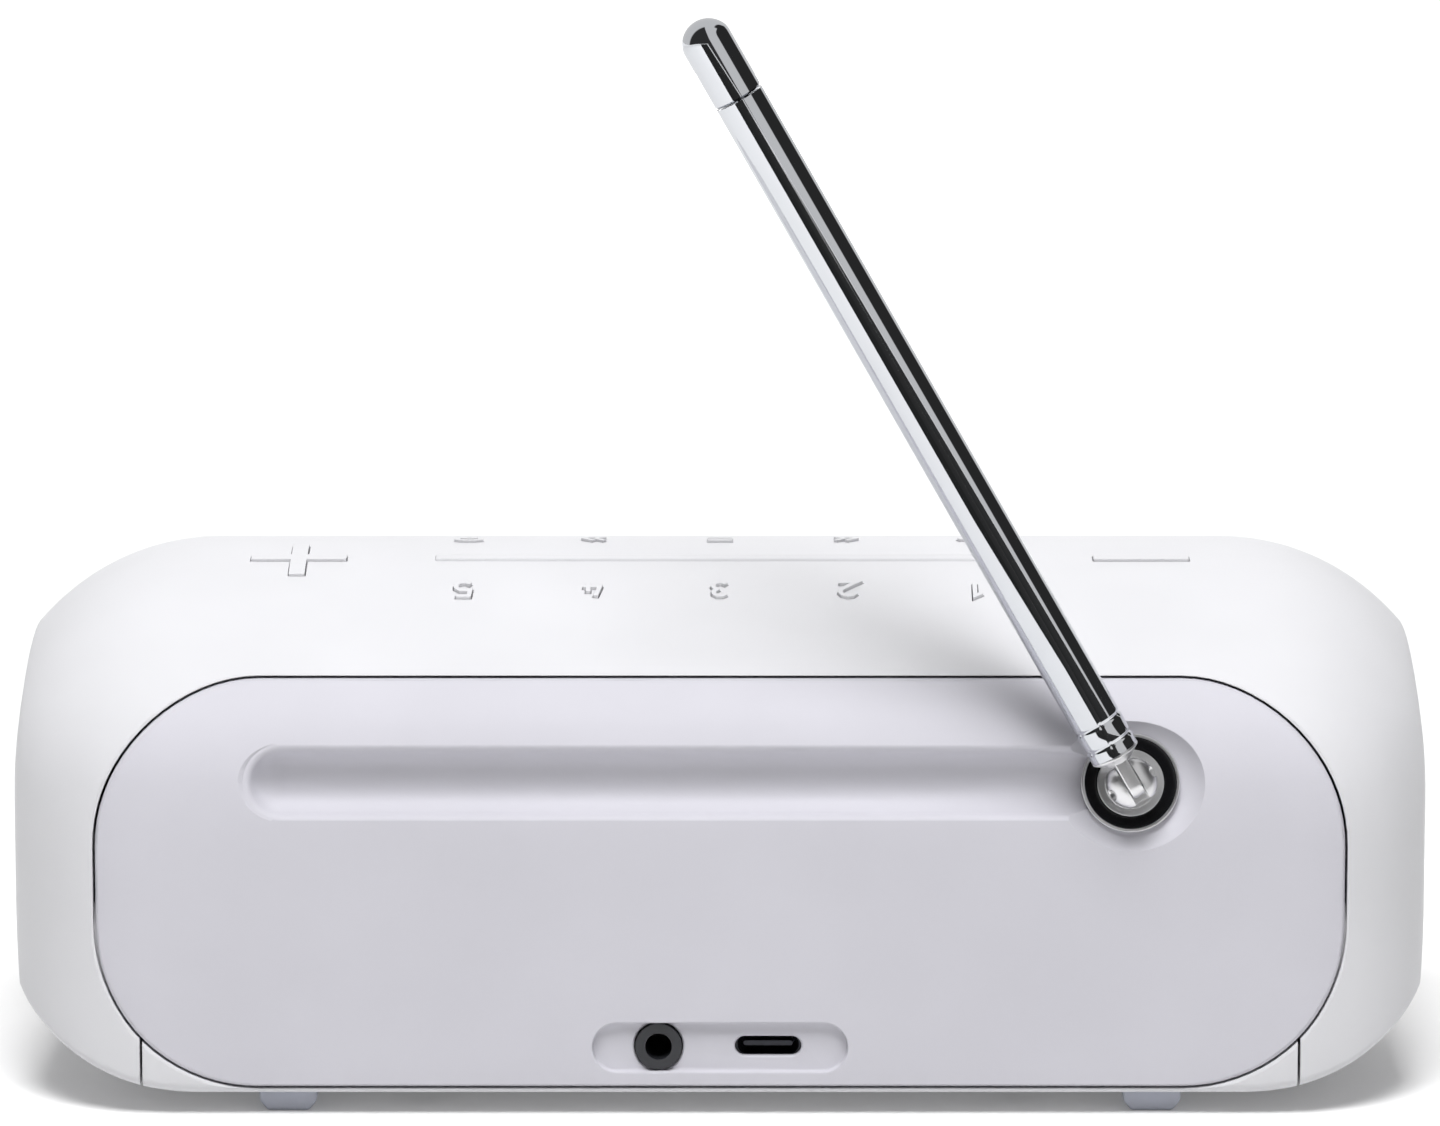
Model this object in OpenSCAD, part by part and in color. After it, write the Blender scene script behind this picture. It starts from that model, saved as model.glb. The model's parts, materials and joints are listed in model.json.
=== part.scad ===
// Portable tabletop radio: shells, top keys, telescopic antenna, sockets and the parts inside.
// The front faces -Y, the antenna is on the back (+Y) and +Z is up.
// The origin lies on the table, under the middle of the body.

/* [Body] */
// Overall width of the body
body_w = 196; // [176:1:240]
// Overall depth of the body
body_d = 76; // [70:1:92]
// Height of the body above its feet
body_h = 68; // [62:0.5:82]
// Wall thickness of the shells
wall = 2.2; // [1.8:0.1:2.7]
// Radius of the crown, front to back
crown_r = 69; // [64:1:76]
// Radius of the shoulder behind the crown
shoulder_r = 20; // [17:1:23]
// Radius of the gentle curve below the shoulder
haunch_r = 48; // [40:1:56]
// Radius where the crown meets the front
brow_r = 8; // [6:0.5:10]
// Radius under the front edge
chin_r = 6; // [4:0.5:8]
// Radius under the rear edge
heel_r = 1.5; // [1:0.1:2.5]
// Radius of the four end corners, seen from the front
end_r = 33; // [28:1:38]
// Radius of the rear ends, seen from above
rear_end_r = 20; // [18:1:24]
// Radius of the front ends, seen from above
front_end_r = 31; // [26:1:36]
// How far each domed end bulges
end_bulge = 2.2; // [1.6:0.1:3.4]
// Gap between neighbouring shells
seam = 0.35; // [0.2:0.05:0.5]

/* [Feet] */
// Height of the rubber runners below the body
foot_h = 3; // [2:0.5:5]
// Width of a runner
foot_w = 7.8; // [6:0.2:10]
// Distance between the runners' centre lines
foot_pitch = 117; // [100:1:130]
// Length of a runner
foot_len = 66; // [40:1:68]

/* [Rear panel] */
// Width of the rear panel
panel_w = 168.6; // [150:0.2:172]
// Height of the panel's lower edge above the table
panel_z0 = 3.9; // [3.8:0.1:5]
// Corner radius of the rear panel
panel_r = 22; // [16:0.5:26]
// Distance from the middle to the antenna pivot
pivot_x = 55.2; // [50:0.2:60]
// Radius of the dish round the pivot
dish_r = 9.5; // [9:0.1:11]
// Depth of the dish
dish_deep = 2.6; // [2.4:0.1:3]
// Gap round the antenna in its groove
groove_clear = 1; // [0.6:0.1:1.4]

/* [Top keys] */
// Distance between the preset keys
key_pitch = 17.6; // [14:0.1:20]
// Distance of the preset keys behind the middle
key_row = 11.2; // [10:0.1:12]
// Height that a key's symbol stands proud
key_raise = 0.4; // [0.3:0.05:0.6]
// Travel of a key
key_travel = 0.4; // [0.3:0.05:0.5]
// Gap round a key's symbol
key_clear = 0.15; // [0.1:0.05:0.25]
// Width of a symbol's stroke
stroke_w = 0.65; // [0.5:0.05:0.8]
// Length of the volume bars
volume_len = 13.2; // [10:0.1:15]
// Width of the volume bars and of the ridge
volume_w = 2.2; // [1.6:0.1:2.6]
// Distance of the volume keys from the middle
volume_x = 58.4; // [50:0.1:60]
// Length of the ridge between the key rows
ridge_len = 79; // [60:1:88]

/* [Antenna] */
// Outer radius of the antenna
antenna_r = 3.4; // [3:0.1:4.1]
// Wall of each telescopic tube
tube_wall = 0.45; // [0.35:0.05:0.5]
// Radial gap between the telescopic tubes
tube_clear = 0.05; // [0.03:0.01:0.1]
// Length from the hinge pin to the tip
antenna_len = 118; // [100:1:124]
// Length of the cap at the tip
cap_len = 11.6; // [8:0.1:14]
// Height of the hinge pin above the panel's surface
pin_lift = 2.1; // [2:0.1:2.8]
// Radius of the hinge pin
pin_r = 0.8; // [0.6:0.05:1]
// Radius of the swivel's shaft
swivel_shaft_r = 2; // [1.6:0.1:2.4]
// Radius of the swivel's disc
swivel_r = 4.5; // [4.2:0.1:5]
// Angle of the raised antenna above the groove's line
antenna_raise = 59.7; // [0:0.1:119]
// Lean of the raised antenna away from the panel
antenna_lean = 11; // [10:0.5:20]

/* [Sockets] */
// Height of the sockets above the table
port_z = 9.4; // [9.2:0.1:11]
// Distance of the headphone socket from the middle
jack_x = 8.3; // [7:0.1:10]
// Radius of the headphone socket's bore
jack_bore_r = 1.8; // [1.75:0.05:2.1]
// Radius of the headphone socket's nose
jack_nose_r = 3.15; // [2.9:0.05:3.6]
// Distance of the charging socket from the middle
usb_x = 6.5; // [6:0.1:8]
// Width of the charging socket's shell
usb_w = 8.94; // [8.9:0.02:9.1]
// Height of the charging socket's shell
usb_h = 3.26; // [3.2:0.02:3.3]
// Width of the slot in front of the charging socket
usb_slot_w = 9; // [8.6:0.1:9.6]
// Height of the slot in front of the charging socket
usb_slot_h = 2.7; // [2.6:0.1:3.6]
// Width of the recess round the sockets
recess_w = 34.4; // [32:0.2:38]
// Height of the recess round the sockets
recess_h = 6.7; // [6.6:0.1:7]

/* [Front] */
// Width of the grille
grille_w = 168; // [150:1:170]
// Height of the grille's lower edge above the table
grille_z0 = 9.6; // [9.4:0.1:12]
// Corner radius of the grille
grille_r = 16; // [12:1:20]
// Outer radius of the driver and of the passive radiator
driver_r = 28; // [23:0.5:28.5]
// Width of the display's lens
lens_w = 34; // [28:1:36]
// Height of the display's lens
lens_h = 24; // [20:1:30]

/* [Inside] */
// Radius of the battery cell
cell_r = 9.2; // [9:0.1:9.3]
// Length of the battery cell
cell_len = 65; // [60:1:66]
// Thickness of the circuit boards
board_t = 1.6; // [1:0.1:2]
// Gap left between neighbouring inner parts
fit_gap = 0.2; // [0.1:0.05:0.3]

/* [Hidden] */
$fn = 48;
far = 300;

// Directions on the side profile are angles from straight up, towards the rear.
edge_lean = 35;
pivot_lean = 80;
function dir(a) = [sin(a), cos(a)];
function arc(c, r, a0, a1, n, first = 1) = [for (i = [first:n]) c + r * dir(a0 + (a1 - a0) * i / n)];
function sag(r, d) = d <= 0 ? 0 : r - sqrt(r * r - d * d);

// Side profile: tangent arcs from the rear face, over the crown, to the front face.
z_bot = foot_h;
z_top = foot_h + body_h;
y_rear = body_d / 2;
y_front = -body_d / 2;
crest_y = y_rear - crown_r * sin(edge_lean) - shoulder_r * (sin(pivot_lean) - sin(edge_lean))
    - haunch_r * (1 - sin(pivot_lean));
brow_lean = asin((crest_y - y_front - brow_r) / (crown_r - brow_r));
crown_c = [crest_y, z_top - crown_r];
shoulder_c = crown_c + (crown_r - shoulder_r) * dir(edge_lean);
haunch_c = shoulder_c + (shoulder_r - haunch_r) * dir(pivot_lean);
brow_c = crown_c + (crown_r - brow_r) * dir(-brow_lean);
edge_z = shoulder_c[1] + shoulder_r * cos(edge_lean);
pivot_yz = shoulder_c + shoulder_r * dir(pivot_lean);
function profile(t) = let(heel = max(heel_r - t, 0.3), chin = max(chin_r - t, 0.3)) concat(
    arc([y_rear - t - heel, z_bot + t + heel], heel, 180, 90, 3, 0),
    arc(haunch_c, haunch_r - t, 90, pivot_lean, 2, 0),
    arc(shoulder_c, shoulder_r - t, pivot_lean, edge_lean, 7),
    arc(crown_c, crown_r - t, edge_lean, -brow_lean, 9),
    arc(brow_c, brow_r - t, -brow_lean, -90, 4),
    arc([y_front + t + chin, z_bot + t + chin], chin, -90, -180, 4, 0));
function crown_z(y, t) = crown_c[1] + sqrt(pow(crown_r - t, 2) - pow(y - crest_y, 2));

// Ends: the profile shrinks along corner arcs up to a crease, then closes over a shallow dome.
end_turn = 50;
rear_end_turn = 75;
front_end_turn = 36;
crease_x = body_w / 2 - end_bulge;
end_x = crease_x - end_r * sin(end_turn);
rear_end_x = crease_x - rear_end_r * sin(rear_end_turn);
front_end_x = crease_x - front_end_r * sin(front_end_turn);
function ring(x, t) = let(
    a = min(abs(x), crease_x - t),
    drop = sag(end_r - t, a - end_x),
    z0 = z_bot + t + drop, z1 = z_top - t - drop,
    y0 = y_front + t + sag(front_end_r - t, a - front_end_x),
    y1 = y_rear - t - sag(rear_end_r - t, a - rear_end_x),
    s = sqrt(max(0, 1 - (abs(x) - a) / end_bulge)),
    cy = (y0 + y1) / 2, cz = (z0 + z1) / 2)
    [for (p = profile(t)) let(
        y = y0 + (p[0] - y_front - t) * (y1 - y0) / (body_d - 2 * t),
        z = z0 + (p[1] - z_bot - t) * (z1 - z0) / (body_h - 2 * t))
        [x, cy + (y - cy) * s, cz + (z - cz) * s]];
function stations(t) = let(
    corner = [for (a = [0, 9, 17, 24, 30, 35, 40, 44, 47]) end_x + (crease_x - t - end_x) * sin(a) / sin(end_turn)],
    dome = [for (s = [1, 0.93, 0.8, 0.6, 0.35]) crease_x - t + end_bulge * (1 - s * s)],
    right = concat(corner, dome), n = len(right))
    concat([for (i = [n - 1:-1:0]) -right[i]], right);
module loft(t) {
    xs = stations(t);
    m = len(profile(t));
    n = len(xs);
    tip = crease_x - t + end_bulge;
    mid = n * m;
    points = concat([for (x = xs) each ring(x, t)],
        [[-tip, ring(-tip, t)[0][1], ring(-tip, t)[0][2]], [tip, ring(tip, t)[0][1], ring(tip, t)[0][2]]]);
    sides = [for (i = [0:n - 2], j = [0:m - 1]) let(k = (j + 1) % m, a = i * m, b = a + m)
        each [[a + j, b + k, a + k], [a + j, b + j, b + k]]];
    ends = [for (j = [0:m - 1]) let(k = (j + 1) % m, b = (n - 1) * m)
        each [[mid, j, k], [mid + 1, b + k, b + j]]];
    polyhedron(points, concat(sides, ends), convexity = 6);
}
module crown_solid(t) {
    along_x(-end_x, end_x) polygon(profile(t));
}

// Flat shapes are drawn in the plane named by the direction that they run along.
module along_x(x0, x1) {
    translate([x0, 0, 0]) rotate([90, 0, 90]) linear_extrude(x1 - x0) children();
}
module along_y(y0, y1) {
    translate([0, y1, 0]) rotate([90, 0, 0]) linear_extrude(y1 - y0) children();
}
function rounded(w, z0, z1, r) = let(x = w / 2 - r) concat(
    arc([x, z1 - r], r, 0, 90, 8, 0), arc([x, z0 + r], r, 90, 180, 8, 0),
    arc([-x, z0 + r], r, 180, 270, 8, 0), arc([-x, z1 - r], r, 270, 360, 8, 0));
module outline(w, z0, z1, r, grow = 0) {
    polygon(rounded(w + 2 * grow, z0 - grow, z1 + grow, r + grow));
}
module stadium(w, h) {
    square([w - h, h], center = true);
    for (side = [-1, 1]) translate([side * (w - h) / 2, 0]) circle(h / 2);
}
module box(x0, x1, y0, y1, z0, z1) {
    translate([x0, y0, z0]) cube([x1 - x0, y1 - y0, z1 - z0]);
}
module rod(r, z0, z1) {
    translate([0, 0, z0]) cylinder(r = r, h = z1 - z0);
}
module tube(r, bore, z0, z1) {
    difference() {
        rod(r, z0, z1);
        rod(bore, z0 - 1, z1 + 1);
    }
}

// Base: a tray across the middle, between two short seams at the lower corners.
base_w = 156.6;
base_top = z_bot + 8;
screw_x = 40;
screw_ys = [-3, 27];
screw_seat = 2;
screw_bore = 1.7;
module base_zone(grow) {
    box(-base_w / 2 - grow, base_w / 2 + grow, -far, far, -1, base_top + grow);
}

// Rear panel: its outline is cut through the rear skin only.
module panel_zone(grow) {
    front = y_rear - wall - fit_gap - grow;
    intersection() {
        along_y(0, far) outline(panel_w, panel_z0, edge_z, panel_r, grow);
        along_x(-far, far) polygon([[front, 0], [front, pivot_yz[1] - 20], [crest_y + 30, edge_z],
            [crest_y + 30, far], [far, far], [far, 0]]);
    }
}
module rear_panel() {
    color("#CDCCD2") difference() {
        union() {
            intersection() {
                panel_zone(-seam / 2);
                difference() {
                    loft(0);
                    loft(wall);
                }
            }
            intersection() {
                crown_solid(wall / 2);
                union() {
                    groove(groove_r + trough_wall);
                    at_pivot() rod(dish_r + trough_wall, -boss_deep, 0);
                }
            }
        }
        groove(groove_r);
        at_pivot() rotate_extrude() polygon([[0, -dish_deep], [dish_r - 2.2, -dish_deep], [dish_r, 0],
            [dish_r, 6], [0, 6]]);
        at_pivot() rod(bush_r + key_clear, -boss_deep - 1, 0);
        along_y(recess_y, far) translate([0, port_z]) stadium(recess_w, recess_h);
        along_y(0, far) translate([jack_x, port_z]) circle(jack_nose_r + key_clear);
        along_y(0, far) translate([-usb_x, port_z]) stadium(usb_slot_w, usb_slot_h);
    }
}
trough_wall = 1.2;
boss_deep = 5.4;
recess_deep = 1.2;
recess_y = y_rear - recess_deep;
groove_r = antenna_r + groove_clear;
groove_end = antenna_len + 0.4;
module groove(r) {
    at_pivot() {
        rotate([0, -90, 0]) rod(r, 0, groove_end - groove_r);
        translate([-(groove_end - groove_r), 0, 0]) sphere(r);
    }
}
// The pivot's own frame: x to the viewer's right from behind, y up the panel, z out of it.
module at_pivot() {
    translate([-pivot_x, pivot_yz[0], pivot_yz[1]]) rotate([pivot_lean, 0, 180]) children();
}

// The rounded skins are facets, so the whole shell is one mesh: the resize leaves its width as it is.
module wrap_shell() {
    color("#EDEDEE") resize([body_w, 0, 0]) {
        difference() {
            loft(0);
            loft(wall);
            base_zone(0);
            panel_zone(seam / 2);
            along_y(-far, y_front + wall + 1) outline(grille_w, grille_z0, grille_z1, grille_r);
            for (k = keys) key_symbol(k, key_clear);
        }
        intersection() {
            translate([0, 0, z_top - 12]) linear_extrude(20) square([ridge_len, volume_w], center = true);
            difference() {
                crown_solid(-key_raise);
                crown_solid(wall / 2);
            }
        }
        for (x = [-boss_x, boss_x], y = board_ys) translate([x, y, 0]) intersection() {
            tube(boss_r, board_screw_r, board_z + board_t, z_top);
            translate([0, -y, 0]) crown_solid(wall / 2);
        }
    }
}
module base_shell() {
    color("#E6E6E8") difference() {
        union() {
            intersection() {
                base_zone(-seam);
                difference() {
                    loft(0);
                    loft(wall);
                }
            }
            at_base_screws() rod(4.6, z_bot + wall / 2, z_bot + wall + 1.6);
        }
        panel_zone(seam / 2);
        at_base_screws() rod(screw_bore, 0, far);
        at_base_screws() rod(3, 0, z_bot + screw_seat);
        along_y(-far, y_front + wall + 1) outline(grille_w, grille_z0, grille_z1, grille_r);
    }
}
module at_base_screws() {
    for (x = [-screw_x, screw_x], y = screw_ys) translate([x, y, 0]) children();
}
module base_screws() {
    color("#8A8C90") at_base_screws() difference() {
        union() {
            rod(2.8, z_bot + 0.3, z_bot + screw_seat);
            rod(1.5, z_bot + screw_seat, z_bot + 8);
        }
        rod(1.1, z_bot, z_bot + 1.4, $fn = 6);
    }
}
foot_back = 3;
module rubber_feet() {
    top = foot_w / 2;
    color("#8B8E9A") for (x = [-foot_pitch / 2, foot_pitch / 2]) translate([x, 0, 0])
        along_y(y_rear - foot_back - foot_len, y_rear - foot_back)
            polygon([[-top, z_bot], [-top, z_bot * 0.45], [-top + 1.1, 0], [top - 1.1, 0],
                [top, z_bot * 0.45], [top, z_bot]]);
}

// Front: grille, cloth and baffle are layers that follow the front face.
grille_z1 = brow_c[1] - 0.4;
module front_layer(t0, t1, grow) {
    intersection() {
        along_y(-far, y_front + t1 + 3) outline(grille_w, grille_z0, grille_z1, grille_r, grow);
        difference() {
            loft(t0);
            loft(t1);
        }
    }
}
grille_t = [0.5, 1.3];
cloth_t = [1.4, 1.7];
baffle_t = [wall + fit_gap, wall + fit_gap + 2.4];
baffle_back = y_front + baffle_t[1];
lens_z = (grille_z0 + grille_z1) / 2 + 2;
module lens_window(grow) {
    along_y(-far, 0) outline(lens_w, lens_z - lens_h / 2, lens_z + lens_h / 2, 2, grow);
}
module front_grille() {
    color("#C9C9CC") difference() {
        front_layer(grille_t[0], grille_t[1], -fit_gap);
        lens_window(fit_gap);
    }
}
module grille_cloth() {
    color("#3A3B40") difference() {
        front_layer(cloth_t[0], cloth_t[1], -2 * fit_gap);
        lens_window(fit_gap);
    }
}
module front_baffle() {
    color("#55575C") difference() {
        intersection() {
            front_layer(baffle_t[0], baffle_t[1], fit_gap);
            box(-far, far, -far, 0, z_bot + chin_r, brow_c[1]);
        }
        lens_window(fit_gap);
        for (side = [-1, 1]) at_driver(side) rod(driver_r - 5.5, -1, 10);
        at_driver_screws() rod(0.7, -1, 1.8);
    }
}
module display_lens() {
    color("#17181B") intersection() {
        lens_window(0);
        along_x(-lens_w, lens_w) polygon([[y_front + 0.4, 0], [y_front + wall, 0], [y_front + wall, far],
            [y_front + 0.4, far]]);
    }
}
module display_module() {
    color("#2B4A3A") box(-lens_w / 2 + 1, lens_w / 2 - 1, y_front + wall + fit_gap, y_front + wall + 5,
        lens_z - lens_h / 2 + 1, lens_z + lens_h / 2 - 1);
}

// Driver and passive radiator: turned parts on a common axis, z = 0 on the baffle, +z to the front.
driver_x = front_end_x - driver_r - 0.3;
driver_z = z_bot + wall + driver_r + 1;
flange_t = 1.2;
roll_r = 1.2;
roll_mid = driver_r - 6.85;
cone_edge = roll_mid - roll_r - 0.15;
magnet_z = -17.2;
module at_driver(side) {
    translate([side * driver_x, baffle_back, driver_z]) rotate([90, 0, 0]) children();
}
module at_driver_screws() {
    for (side = [-1, 1], a = [45:90:315]) at_driver(side) rotate(a) translate([driver_r - 1.8, 0, 0]) children();
}
module driver_frame() {
    color("#2A2B2E") difference() {
        at_driver(-1) difference() {
            rotate_extrude() polygon([[driver_r, -fit_gap / 4], [driver_r, -flange_t], [driver_r - 3.8, -flange_t],
                [13, magnet_z + 1.2], [13, magnet_z], [6.5, magnet_z], [6.5, magnet_z + 1.2],
                [12, magnet_z + 1.2], [driver_r - 5.5, -2.4], [driver_r - 5.5, -fit_gap / 4]]);
            for (a = [0:90:270]) rotate(a) translate([13, -4, -12.5]) cube([12, 8, 7]);
        }
        at_driver_screws() rod(0.85, -3, 1);
    }
}
module roll(side) {
    at_driver(side) rotate_extrude() {
        translate([roll_mid, -1.85]) intersection() {
            difference() {
                circle(roll_r);
                circle(roll_r - 0.4);
            }
            translate([-roll_r, 0]) square([2 * roll_r, roll_r]);
        }
        translate([roll_mid - roll_r - 0.95, -1.85]) square([1.1, 0.4]);
        translate([roll_mid + roll_r - 0.15, -1.85]) square([0.25, 0.4]);
    }
}
module driver_surround() {
    color("#1C1D1F") roll(-1);
}
module driver_cone() {
    color("#44464A") at_driver(-1) rotate_extrude() polygon([[0, -6.8], [3, -7.3], [6, -9],
        [cone_edge - 0.8, -1.95], [cone_edge, -1.95], [cone_edge, -2.6], [cone_edge - 0.8, -2.6],
        [5.8, -10], [5.6, -14], [5, -14], [5, -9.6], [3, -8.1], [0, -7.6]]);
}
module driver_magnet() {
    color("#3B3C40") at_driver(-1) {
        rod(15, magnet_z - 9, magnet_z - fit_gap / 4);
        rod(4.6, magnet_z - 1, -11);
    }
}
module radiator_frame() {
    color("#2A2B2E") difference() {
        at_driver(1) tube(driver_r, driver_r - 5.5, -3, -fit_gap / 4);
        at_driver_screws() {
            rod(0.85, -4, 1);
            rod(1.5, -4, -flange_t);
        }
    }
}
module radiator_surround() {
    color("#1C1D1F") roll(1);
}
module radiator_plate() {
    color("#505257") at_driver(1) {
        rod(cone_edge, -3, -1.95);
        rod(6, -5, -2.9);
    }
}
module driver_screws() {
    color("#8A8C90") at_driver_screws() {
        rod(1.3, -flange_t - 1, -flange_t);
        rod(0.65, -flange_t - 0.1, 1.6);
    }
}

// Deck: a bridge that stands on the base and carries the cells and the main board.
deck_z = port_z + 3.2;
deck_t = 2;
module deck_frame() {
    color("#4A4C52") difference() {
        union() {
            box(-screw_x - 4, screw_x + 4, screw_ys[0] - 4, screw_ys[1] + 4, deck_z, deck_z + deck_t);
            at_base_screws() rod(3.5, z_bot + wall + 1.7, deck_z + 1);
        }
        box(-20, 20, 9, 20, deck_z - 1, deck_z + deck_t + 1);
        at_base_screws() rod(1.52, 0, z_bot + 9);
    }
}
cell_y = 19.5;
cell_z = deck_z + deck_t + fit_gap + 1.2 + cell_r + fit_gap;
module battery_cell() {
    color("#3D6FB0") along_x(-cell_len / 2, cell_len / 2) translate([cell_y, cell_z]) circle(cell_r);
    color("#B9BBBF") along_x(cell_len / 2, cell_len / 2 + 1) translate([cell_y, cell_z]) circle(3);
}
module battery_cradle() {
    floor_z = deck_z + deck_t + fit_gap / 2;
    half = cell_len / 2 + 1.2;
    color("#2E3034") difference() {
        box(-half - 1.5, half + 1.5, cell_y - cell_r - 1, cell_y + cell_r + 1, floor_z, cell_z - 2);
        along_x(-half, half) translate([cell_y, cell_z]) circle(cell_r + fit_gap);
        box(-half, half, cell_y - 3, cell_y + 3, floor_z + 1, cell_z);
    }
}
main_y = 2;
main_half = 24;
main_z = [deck_z + deck_t + fit_gap / 2, deck_z + 40];
module main_board() {
    color("#1F5B3C") box(-main_half, main_half, main_y, main_y + board_t, main_z[0], main_z[1]);
    color("#202226") {
        box(-6, 6, main_y - 1, main_y, 30, 42);
        box(-18, -12, main_y - 1.5, main_y, 34, 40);
        box(12, 16, main_y - 2, main_y, 22, 34);
    }
}
module tuner_shield() {
    y = main_y + board_t + 0.05;
    color("#C4C6CA") difference() {
        box(-20, -2, y, y + 3.4, 36, 50);
        box(-19.7, -2.3, y - 1, y + 3.1, 36.3, 49.7);
    }
}

// Sockets: both stand on a small board above the base.
io_z = z_bot + wall + 0.4;
io_t = 1;
jack_front = recess_y + 0.4;
jack_deep = 14;
module io_board() {
    color("#1F5B3C") box(-16, 18, 19, y_rear - wall - 1, io_z, io_z + io_t);
}
module aux_jack() {
    back = y_rear - wall - 0.4;
    color("#26272A") difference() {
        union() {
            along_y(back - 0.4, jack_front) translate([jack_x, port_z]) circle(jack_nose_r);
            box(jack_x - 3.4, jack_x + 3.4, back - jack_deep + 1, back - 0.4, io_z + io_t, port_z + 2.6);
        }
        along_y(jack_front - jack_deep, far) translate([jack_x, port_z]) circle(jack_bore_r);
    }
}
module usb_c_socket() {
    shell = 0.3;
    front = y_rear - wall - fit_gap / 2;
    color("#3C3D41") {
        difference() {
            along_y(front - 7.3, front) translate([-usb_x, port_z]) stadium(usb_w, usb_h);
            along_y(front - 6.2, far) translate([-usb_x, port_z])
                stadium(usb_w - 2 * shell, usb_h - 2 * shell);
        }
        box(-usb_x - 3.6, -usb_x + 3.6, front - 7.3, front - 2.6, io_z + io_t, port_z - usb_h / 2 + 0.1);
    }
    color("#1A1B1D") along_y(front - 6.4, front - 0.8) translate([-usb_x, port_z]) stadium(6.7, 0.7);
}

// Keypad: a board under the crown with one switch below each key.
board_z = z_top - 12.9;
board_ys = [-14, 14];
boss_x = 66;
boss_r = 2.4;
board_screw_r = 0.8;
board_screw_reach = 3.4;
switch_h = 3.4;
plunger_z = board_z + board_t + switch_h;
module keypad_board() {
    color("#1F5B3C") difference() {
        box(-boss_x - 3.5, boss_x + 3.5, board_ys[0] - 3.5, board_ys[1] + 3.5, board_z, board_z + board_t - 0.05);
        for (x = [-boss_x, boss_x], y = board_ys) translate([x, y, 0]) rod(1.1, 0, far);
    }
}
module board_screws() {
    color("#8A8C90") for (x = [-boss_x, boss_x], y = board_ys) translate([x, y, 0]) {
        rod(1.9, board_z - 1.2, board_z);
        rod(board_screw_r - 0.02, board_z - 0.2, board_z + board_t + board_screw_reach);
    }
}
module key_switches() {
    color("#2A2B2E") for (k = keys) translate([k[1], k[2], board_z + board_t]) {
        translate([-1.75, -1.5, 0]) cube([3.5, 3, switch_h - 0.8]);
        rod(0.8, switch_h - 1, switch_h);
    }
}

// Keys: [symbol, x, y]. Each symbol passes through the crown and has a flange and a stem below it.
keys = [["one", -2 * key_pitch, key_row], ["two", -key_pitch, key_row], ["three", 0, key_row],
    ["four", key_pitch, key_row], ["five", 2 * key_pitch, key_row],
    ["power", -2 * key_pitch, -key_row], ["back", -key_pitch, -key_row], ["menu", 0, -key_row],
    ["forward", key_pitch, -key_row], ["waves", 2 * key_pitch, -key_row],
    ["minus", -volume_x, 0], ["plus", volume_x, 0]];
function turn(c, r, a0, a1, n) = [for (i = [0:n]) let(a = a0 + (a1 - a0) * i / n) c + r * [cos(a), sin(a)]];
function strokes(s) =
    s == "one" ? [[[-0.7, 1.15], [0.2, 1.82], [0.2, -1.82]]] :
    s == "two" ? [concat(turn([0, 0.72], 1.1, 160, -30, 5), [[-1.17, -1.82], [1.2, -1.82]])] :
    s == "three" ? [concat(turn([0, 0.92], 0.9, 150, -60, 5), turn([0, -0.86], 0.96, 40, -150, 5))] :
    s == "four" ? [[[-0.55, 1.82], [-1.1, -0.7], [1.2, -0.7]], [[0.5, 0.7], [0.5, -1.82]]] :
    s == "five" ? [concat([[1, 1.82], [-0.75, 1.82], [-0.9, 0.2]], turn([0, -0.7], 1.12, 110, -145, 6))] :
    s == "power" ? [turn([0, -0.2], 1.6, 140, 400, 9), [[0, 0.3], [0, 1.82]]] :
    s == "back" ? [[[-0.1, 1.3], [-1.4, 0], [-0.1, -1.3]], [[1.4, 1.3], [0.1, 0], [1.4, -1.3]]] :
    s == "menu" ? [for (y = [-1.3, 0, 1.3]) [[-1.7, y], [1.7, y]]] :
    s == "forward" ? [[[0.1, 1.3], [1.4, 0], [0.1, -1.3]], [[-1.4, 1.3], [-0.1, 0], [-1.4, -1.3]]] :
    [[[-0.33, -1.4], [0.33, -1.4]], turn([0, -1.5], 1.5, 45, 135, 4), turn([0, -1.5], 2.9, 50, 130, 6)];
function unit(v) = v / norm(v);
function left(v) = [-v[1], v[0]];
// Offset of a path's point i to its left, with mitred corners.
function beside(p, i, d) = let(n = len(p),
    a = i > 0 ? unit(p[i] - p[i - 1]) : unit(p[1] - p[0]),
    b = i < n - 1 ? unit(p[i + 1] - p[i]) : a,
    m = unit(left(a) + left(b))) p[i] + m * d / (m * left(a));
function stretched(p, by) = let(n = len(p)) [for (i = [0:n - 1])
    i == 0 ? p[0] - by * unit(p[1] - p[0]) : i == n - 1 ? p[i] + by * unit(p[i] - p[i - 1]) : p[i]];
module stroke(path, w, by) {
    p = stretched(path, by);
    n = len(p);
    polygon(concat([for (i = [0:n - 1]) beside(p, i, w / 2)], [for (i = [n - 1:-1:0]) beside(p, i, -w / 2)]));
}
module symbol(s, grow) {
    if (s == "plus") square([volume_w + 2 * grow, volume_len + 2 * grow], center = true);
    if (s == "plus" || s == "minus") square([volume_len + 2 * grow, volume_w + 2 * grow], center = true);
    if (s != "plus" && s != "minus") for (p = strokes(s)) stroke(p, stroke_w + 2 * grow, grow);
}
module key_symbol(k, grow) {
    translate([k[1], k[2], z_top - 12]) linear_extrude(20) symbol(k[0], grow);
}
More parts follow.
